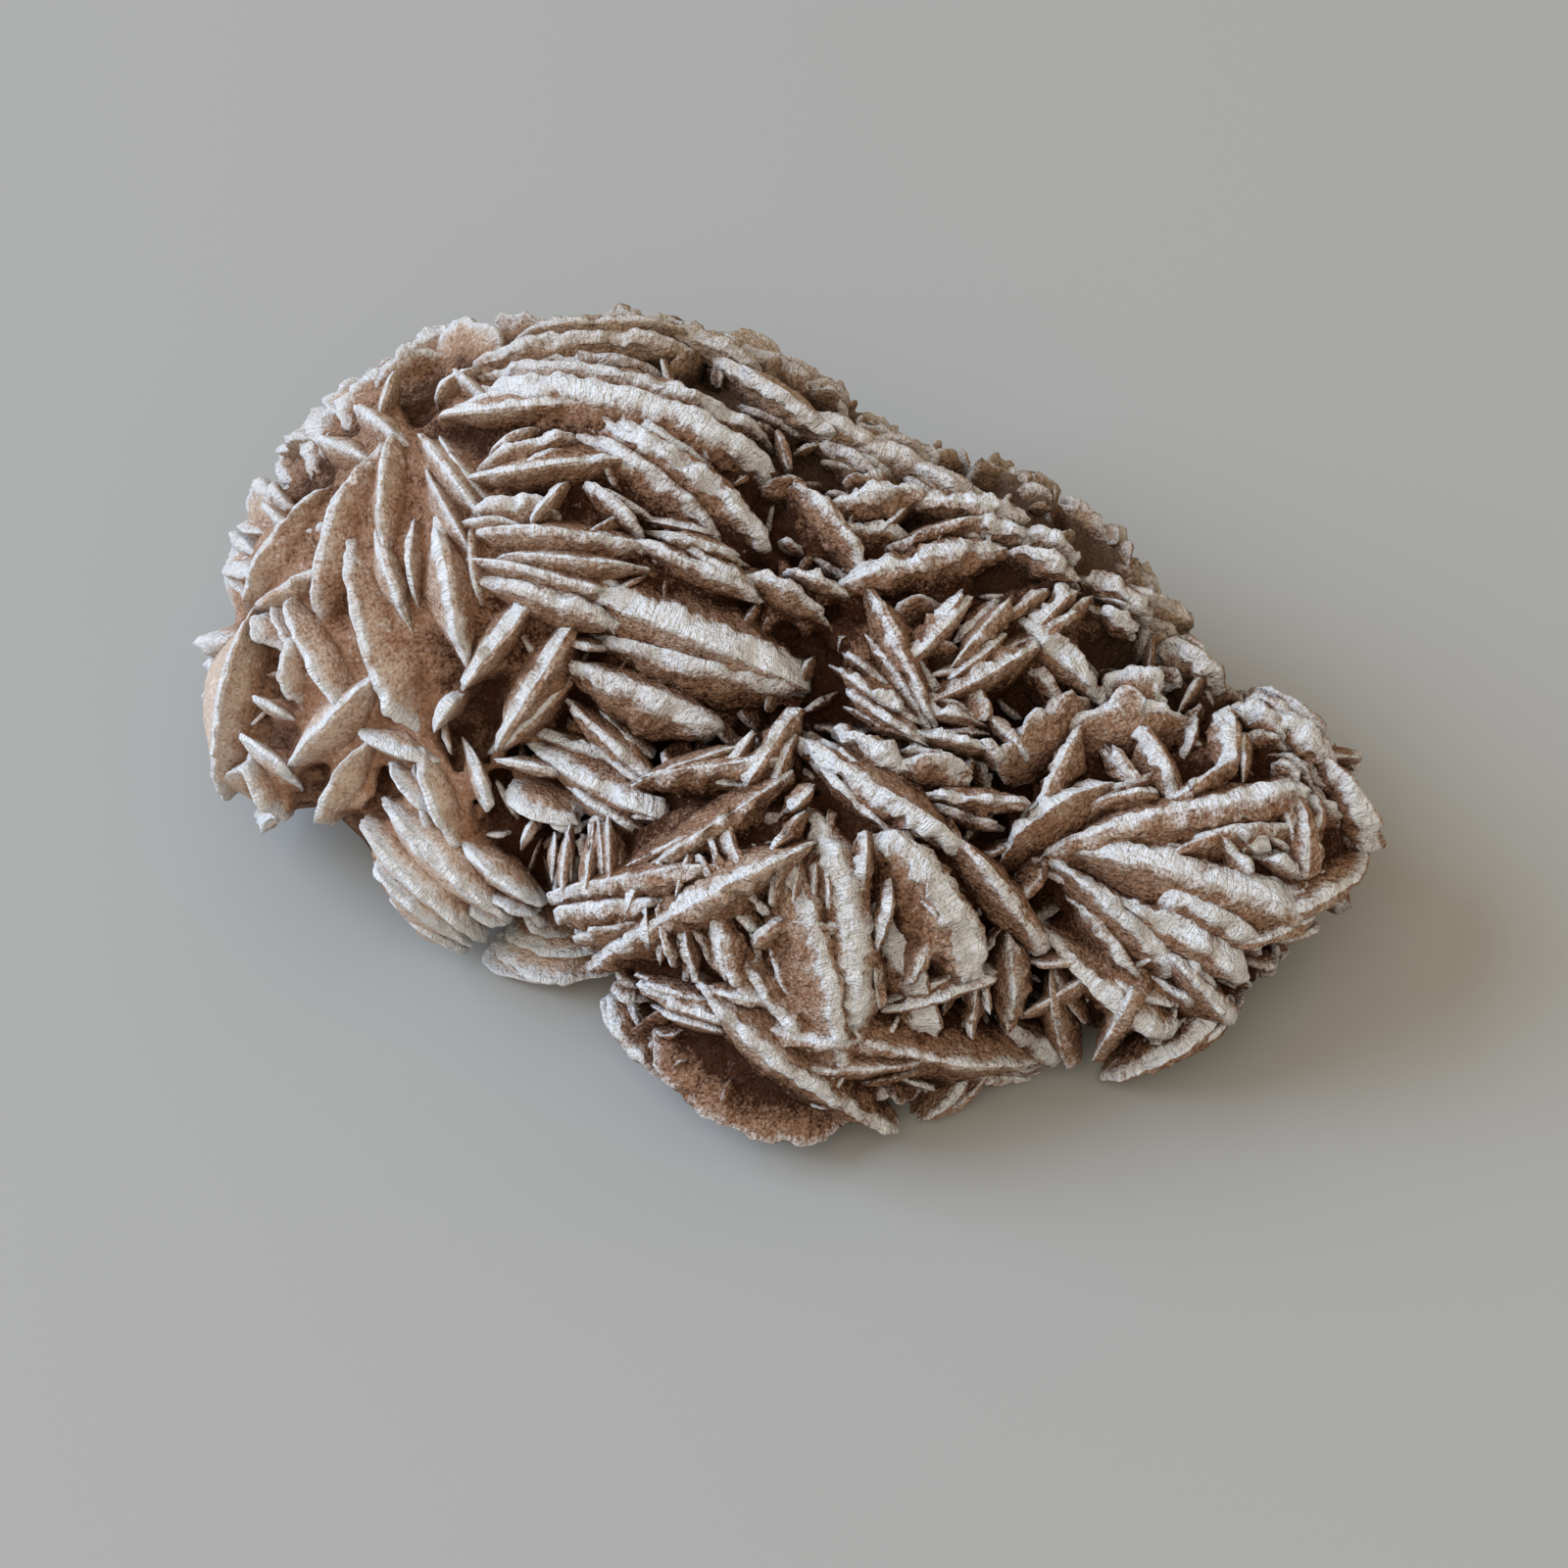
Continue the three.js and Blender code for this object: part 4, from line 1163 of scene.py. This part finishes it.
def rose_material(settings):
    """White sugary rims over tan faces that turn dark brown down in the crevices, partly staining and
    partly painted shade of the crevices, with painted shade in the hollows between grains.
    """
    material, nodes = new_material(MATERIAL)
    place = nodes.add("ShaderNodeTexCoord").outputs["Object"]
    grain = nodes.group("Sand grain", {"Place": place, "Grain size": settings.grain_size})
    streaks = nodes.group("Rim streaks", {"Way": nodes.fact("rim_way", "Vector"),
                                          "Spacing": settings.streak_spacing})["Height"]
    rim, depth, honey = nodes.fact("rim"), nodes.fact("depth"), nodes.fact("honey")
    patches = nodes.minus(grain["Patches"], 0.5)
    # Painted shade in the grain hollows: where the grain texture is low, the faces are coloured browner
    # and the rims less pale, less so on the honey faces.
    grain_hollow_shade = nodes.times(nodes.minus(0.6, grain["Height"]), nodes.ramp(honey, 0.0, 1.0, 1.0, 0.4))
    face, sunk_stain_and_shade = rose_faces(nodes, settings, grain_hollow_shade, patches, rim, depth)

    # On the low front the pale rims are narrowed: partly staining, partly painted shade under the
    # overhanging blades.
    rim_reach = nodes.plus(
        rim, nodes.times(patches, 2.8), nodes.times(nodes.minus(streaks, 0.5), 0.4), grain_hollow_shade,
        nodes.times(honey, -0.8), nodes.times(nodes.fact("low_front_stain_and_shade"), 0.2))
    # The pale rim fades deeper under the skin: partly staining, partly painted shade of the gaps.
    pale = nodes.times(nodes.ramp(rim_reach, -0.38, 1.0, 1.0, 0.0),
                       nodes.ramp(depth, 1.5, 6.0, 1.0, 0.0))
    base = nodes.mix(pale, face, colour(settings, "rim"))
    sandy = nodes.times(nodes.fact("sandy"), nodes.ramp(depth, 0.5, 4.5, 0.7, 0.1))
    base = nodes.mix(sandy, base, colour(settings, "sand"))
    speckled = nodes.times(grain["Pale specks"], nodes.ramp(sunk_stain_and_shade, 0.1, 0.9, 0.26, 0.015))
    base = nodes.mix(speckled, base, colour(settings, "rim"))
    # Dark specks are real dark grains, coloured with the near-black painted shade of the crevices.
    base = nodes.mix(nodes.times(grain["Dark specks"], 0.25), base, colour(settings, "crevice"))
    # Painted shade in the hollows between grains: low spots of the grain texture are multiplied darker by
    # the tint, faintly on the pale rims.
    pit_shade = nodes.times(grain["Pit shade"], nodes.ramp(pale, 0.2, 0.9, 0.75, 0.06))
    base = nodes.mix(pit_shade, base, colour(settings, "pit_shade_tint"), "MULTIPLY")

    crumbs = nodes.ramp(nodes.noise(place, 1 / (CRUMB_SIZE * MM), 2.0, 0.6), 0.36, 0.66, 0.0, 0.7)
    height = nodes.plus(
        grain["Height"], nodes.times(nodes.times(streaks, pale), STREAK_HEIGHT),
        nodes.times(crumbs, nodes.fact("crust")))
    polish = nodes.times(nodes.times(honey, FACE_POLISH), nodes.minus(1.0, pale))
    height = nodes.times(height, nodes.minus(1.0, polish))
    bump = nodes.add("ShaderNodeBump", {
        "Height": height, "Strength": 1.0, "Distance": BUMP_DEPTH * MM})
    nodes.finish({"Base Color": base, "Roughness": 0.93, "Normal": bump.outputs[0],
                  "Specular IOR Level": 0.12})


# ---------------------------------------------------------------- the add-on

def shade(name, value, description):
    return bpy.props.FloatVectorProperty(
        name=name, description=description, subtype="COLOR", size=3, min=0, max=1, default=value)


class SandRoseFinish(bpy.types.PropertyGroup):
    """The rose's colours, and the size and number of its grains."""

    # Rim: the real sugary white of the gypsum edges, with a cool blue tint that is painted light of the
    # cool window.
    rim: shade("Rim", (0.91, 0.915, 0.95), "Sugary edge of a blade")
    tan: shade("Face", (0.56, 0.42, 0.335), "Upper part of a blade's face")
    honey: shade("Honey face", (0.59, 0.465, 0.385), "Face of the clearer blades at the left end")
    # Stained face: reached deep under the skin and far from the rim, partly real staining and partly
    # painted shade.
    brown: shade("Stained face", (0.32, 0.178, 0.113), "Lower part of a blade's face")
    # Crevice colour: near black, painted shade at the bottom of the gaps, also used for the dark specks.
    crevice: shade("Crevice", (0.052, 0.018, 0.008), "Bottom of the gaps")
    # Tint of the painted shade multiplied into the hollows between grains.
    sand: shade("Clinging sand", (0.52, 0.40, 0.29), "Pale sand over the far side")
    pit_shade_tint: shade("Pit tint", (0.58, 0.43, 0.34), "Tint of the pits between grains")
    grain_size: bpy.props.FloatProperty(
        name="Grain size", description="Width of the sand grains in mm", default=0.36, min=0.05)
    streak_spacing: bpy.props.FloatProperty(
        name="Streak spacing", description="Between the streaks across a rim, in mm",
        default=0.26, min=0.05)
    speck_count: bpy.props.IntProperty(
        name="Specks", description="How many specks of sand cling to the blades", default=6800,
        min=1)


class SandRoseStage(bpy.types.PropertyGroup):
    """Camera, table and lights."""

    distance: bpy.props.FloatProperty(
        name="Camera distance", description="From the camera to the rose's middle",
        default=0.311, unit="LENGTH")
    lens: bpy.props.FloatProperty(name="Lens", description="Focal length in mm", default=70.0)
    drop: bpy.props.FloatProperty(
        name="Shift", description="Shift of the lens upwards, over the sensor's width",
        default=-0.0375)
    table: shade("Table", (0.322, 0.322, 0.318), "Matt table top")
    table_size: bpy.props.FloatProperty(
        name="Table size", description="From side to side", default=6.0, unit="LENGTH")
    glow: bpy.props.FloatProperty(
        name="Room glow", description="Strength of the light from all round", default=0.58)


GLOW_TINT = (1.0, 0.83, 0.58, 1.0)
LIGHTS = (  # name, place in m, side in m, power in W, tint
    ("window", (-1.6, 0.2, 1.2), 1.4, 51.5, (0.60, 0.78, 1.02)),
    ("room", (-0.3, -1.1, 1.7), 1.6, 16.5, (1.0, 0.96, 0.88)),
)


class ROSE_OT_show_blades(bpy.types.Operator):
    """Grow the blades of the show face, one piece to a cluster"""

    bl_idname = "sand_rose.show_blades"
    bl_label = "Show-face blades"

    def execute(self, context):
        for place, (name, blades) in enumerate(SHOWN.items()):
            grow_blades(name, blades, 100 + 10 * place)
        grow_blades("twin_blades", TWINS, 200)
        return {"FINISHED"}


class ROSE_OT_hidden_blades(bpy.types.Operator):
    """Grow the blades of the back and underside"""

    bl_idname = "sand_rose.hidden_blades"
    bl_label = "Back and underside blades"

    def execute(self, context):
        back, under = HIDDEN
        grow_blades("back_blades", back + BACK_TWINS, 300)
        grow_blades("under_blades", under, 310)
        return {"FINISHED"}


class ROSE_OT_crevice_crystals(bpy.types.Operator):
    """Grow small crystals between the blades"""

    bl_idname = "sand_rose.crevice_crystals"
    bl_label = "Crevice crystals"

    def execute(self, context):
        grow_blades("crevice_crystals", CRYSTALS, 400)
        return {"FINISHED"}


class ROSE_OT_sand_bed(bpy.types.Operator):
    """Pack sand round the core and between the blades"""

    bl_idname = "sand_rose.sand_bed"
    bl_label = "Sand bed"

    def execute(self, context):
        blades = [blade for group in SHOWN.values() for blade in group]
        points, quads, triangles = sand_bed(blades + TWINS + HIDDEN[0] + HIDDEN[1] + BACK_TWINS)
        facts = {"rim_way": points, "depth": -skin_distance(points),
                 "rim": np.full(len(points), BED_RIM), **finish_facts(points)}
        bed = add_piece("packed_sand", make_mesh("packed_sand", points, quads, triangles, facts))
        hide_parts(CAD_NODE)
        return {"FINISHED"}


class ROSE_OT_sand_grains(bpy.types.Operator):
    """Dust the crusty parts with specks of sand"""

    bl_idname = "sand_rose.sand_grains"
    bl_label = "Sand grains"

    def execute(self, context):
        grains([*SHOWN, "twin_blades", "back_blades", "packed_sand"],
               context.scene.sand_rose_finish.speck_count, 500)
        return {"FINISHED"}


class ROSE_OT_stage(bpy.types.Operator):
    """Set out the table, the lights and the camera"""

    bl_idname = "sand_rose.stage"
    bl_label = "Stage"

    def execute(self, context):
        stage = context.scene.sand_rose_stage
        target = (PLAN_ORIGIN + CENTRING) * MM
        camera_data = bpy.data.cameras.new("Camera")
        camera = bpy.data.objects.new("Camera", camera_data)
        context.scene.collection.objects.link(camera)
        camera_data.lens = stage.lens
        camera_data.sensor_width = 36
        camera_data.shift_y = stage.drop
        camera_data.clip_start = 0.01
        camera.location = target + stage.distance * OUT_AXIS
        camera.rotation_euler = (math.pi / 2 - SHOW_ELEVATION, 0, 0)
        context.scene.camera = camera
        context.scene.view_settings.view_transform = "Standard"
        table_mesh = bpy.data.meshes.new("table")
        side = stage.table_size / 2
        corners = [(-side, -side, 0), (side, -side, 0), (side, side, 0), (-side, side, 0)]
        table_mesh.from_pydata(corners, [], [(0, 1, 2, 3)])
        table = bpy.data.objects.new("table", table_mesh)
        context.scene.collection.objects.link(table)
        material, nodes = new_material("Table top")
        nodes.finish({"Base Color": colour(stage, "table"), "Roughness": 0.7,
                      "Specular IOR Level": 0.3})
        table_mesh.materials.append(material)
        world = bpy.data.worlds.new("World")
        context.scene.world = world
        world.use_nodes = True
        background = world.node_tree.nodes["Background"]
        background.inputs["Color"].default_value = GLOW_TINT
        background.inputs["Strength"].default_value = stage.glow
        for light in LIGHTS:
            self.add_light(context, *light, target)
        return {"FINISHED"}

    def add_light(self, context, name, place, size, power, tint, target):
        data = bpy.data.lights.new(name, "AREA")
        data.size = size
        data.energy = power
        data.color = tint
        light = bpy.data.objects.new(name, data)
        context.scene.collection.objects.link(light)
        light.location = place
        light.rotation_euler = (Vector(target) - Vector(place)).to_track_quat("-Z", "Y").to_euler()


class ROSE_OT_materials(bpy.types.Operator):
    """Mix the rose's materials"""

    bl_idname = "sand_rose.materials"
    bl_label = "Materials"

    def execute(self, context):
        rim_streaks_group()
        sand_grain_group()
        rose_material(context.scene.sand_rose_finish)
        return {"FINISHED"}


class ROSE_PT_panel(bpy.types.Panel):
    """The rose's steps, in order"""

    bl_idname = "ROSE_PT_panel"
    bl_label = "Sand Rose"
    bl_space_type = "VIEW_3D"
    bl_region_type = "UI"
    bl_category = "Sand Rose"

    def draw(self, context):
        for step in STEPS:
            self.layout.operator(step.bl_idname)


STEPS = (ROSE_OT_materials, ROSE_OT_show_blades, ROSE_OT_hidden_blades, ROSE_OT_crevice_crystals,
         ROSE_OT_sand_bed, ROSE_OT_sand_grains, ROSE_OT_stage)
CLASSES = (SandRoseFinish, SandRoseStage, *STEPS, ROSE_PT_panel)


def register():
    for item in CLASSES:
        bpy.utils.register_class(item)
    bpy.types.Scene.sand_rose_finish = bpy.props.PointerProperty(type=SandRoseFinish)
    bpy.types.Scene.sand_rose_stage = bpy.props.PointerProperty(type=SandRoseStage)


def unregister():
    del bpy.types.Scene.sand_rose_stage
    del bpy.types.Scene.sand_rose_finish
    for item in reversed(CLASSES):
        bpy.utils.unregister_class(item)


def main():
    register()
    for step in STEPS:
        group, action = step.bl_idname.split(".")
        getattr(getattr(bpy.ops, group), action)()


if __name__ == "__main__":
    main()
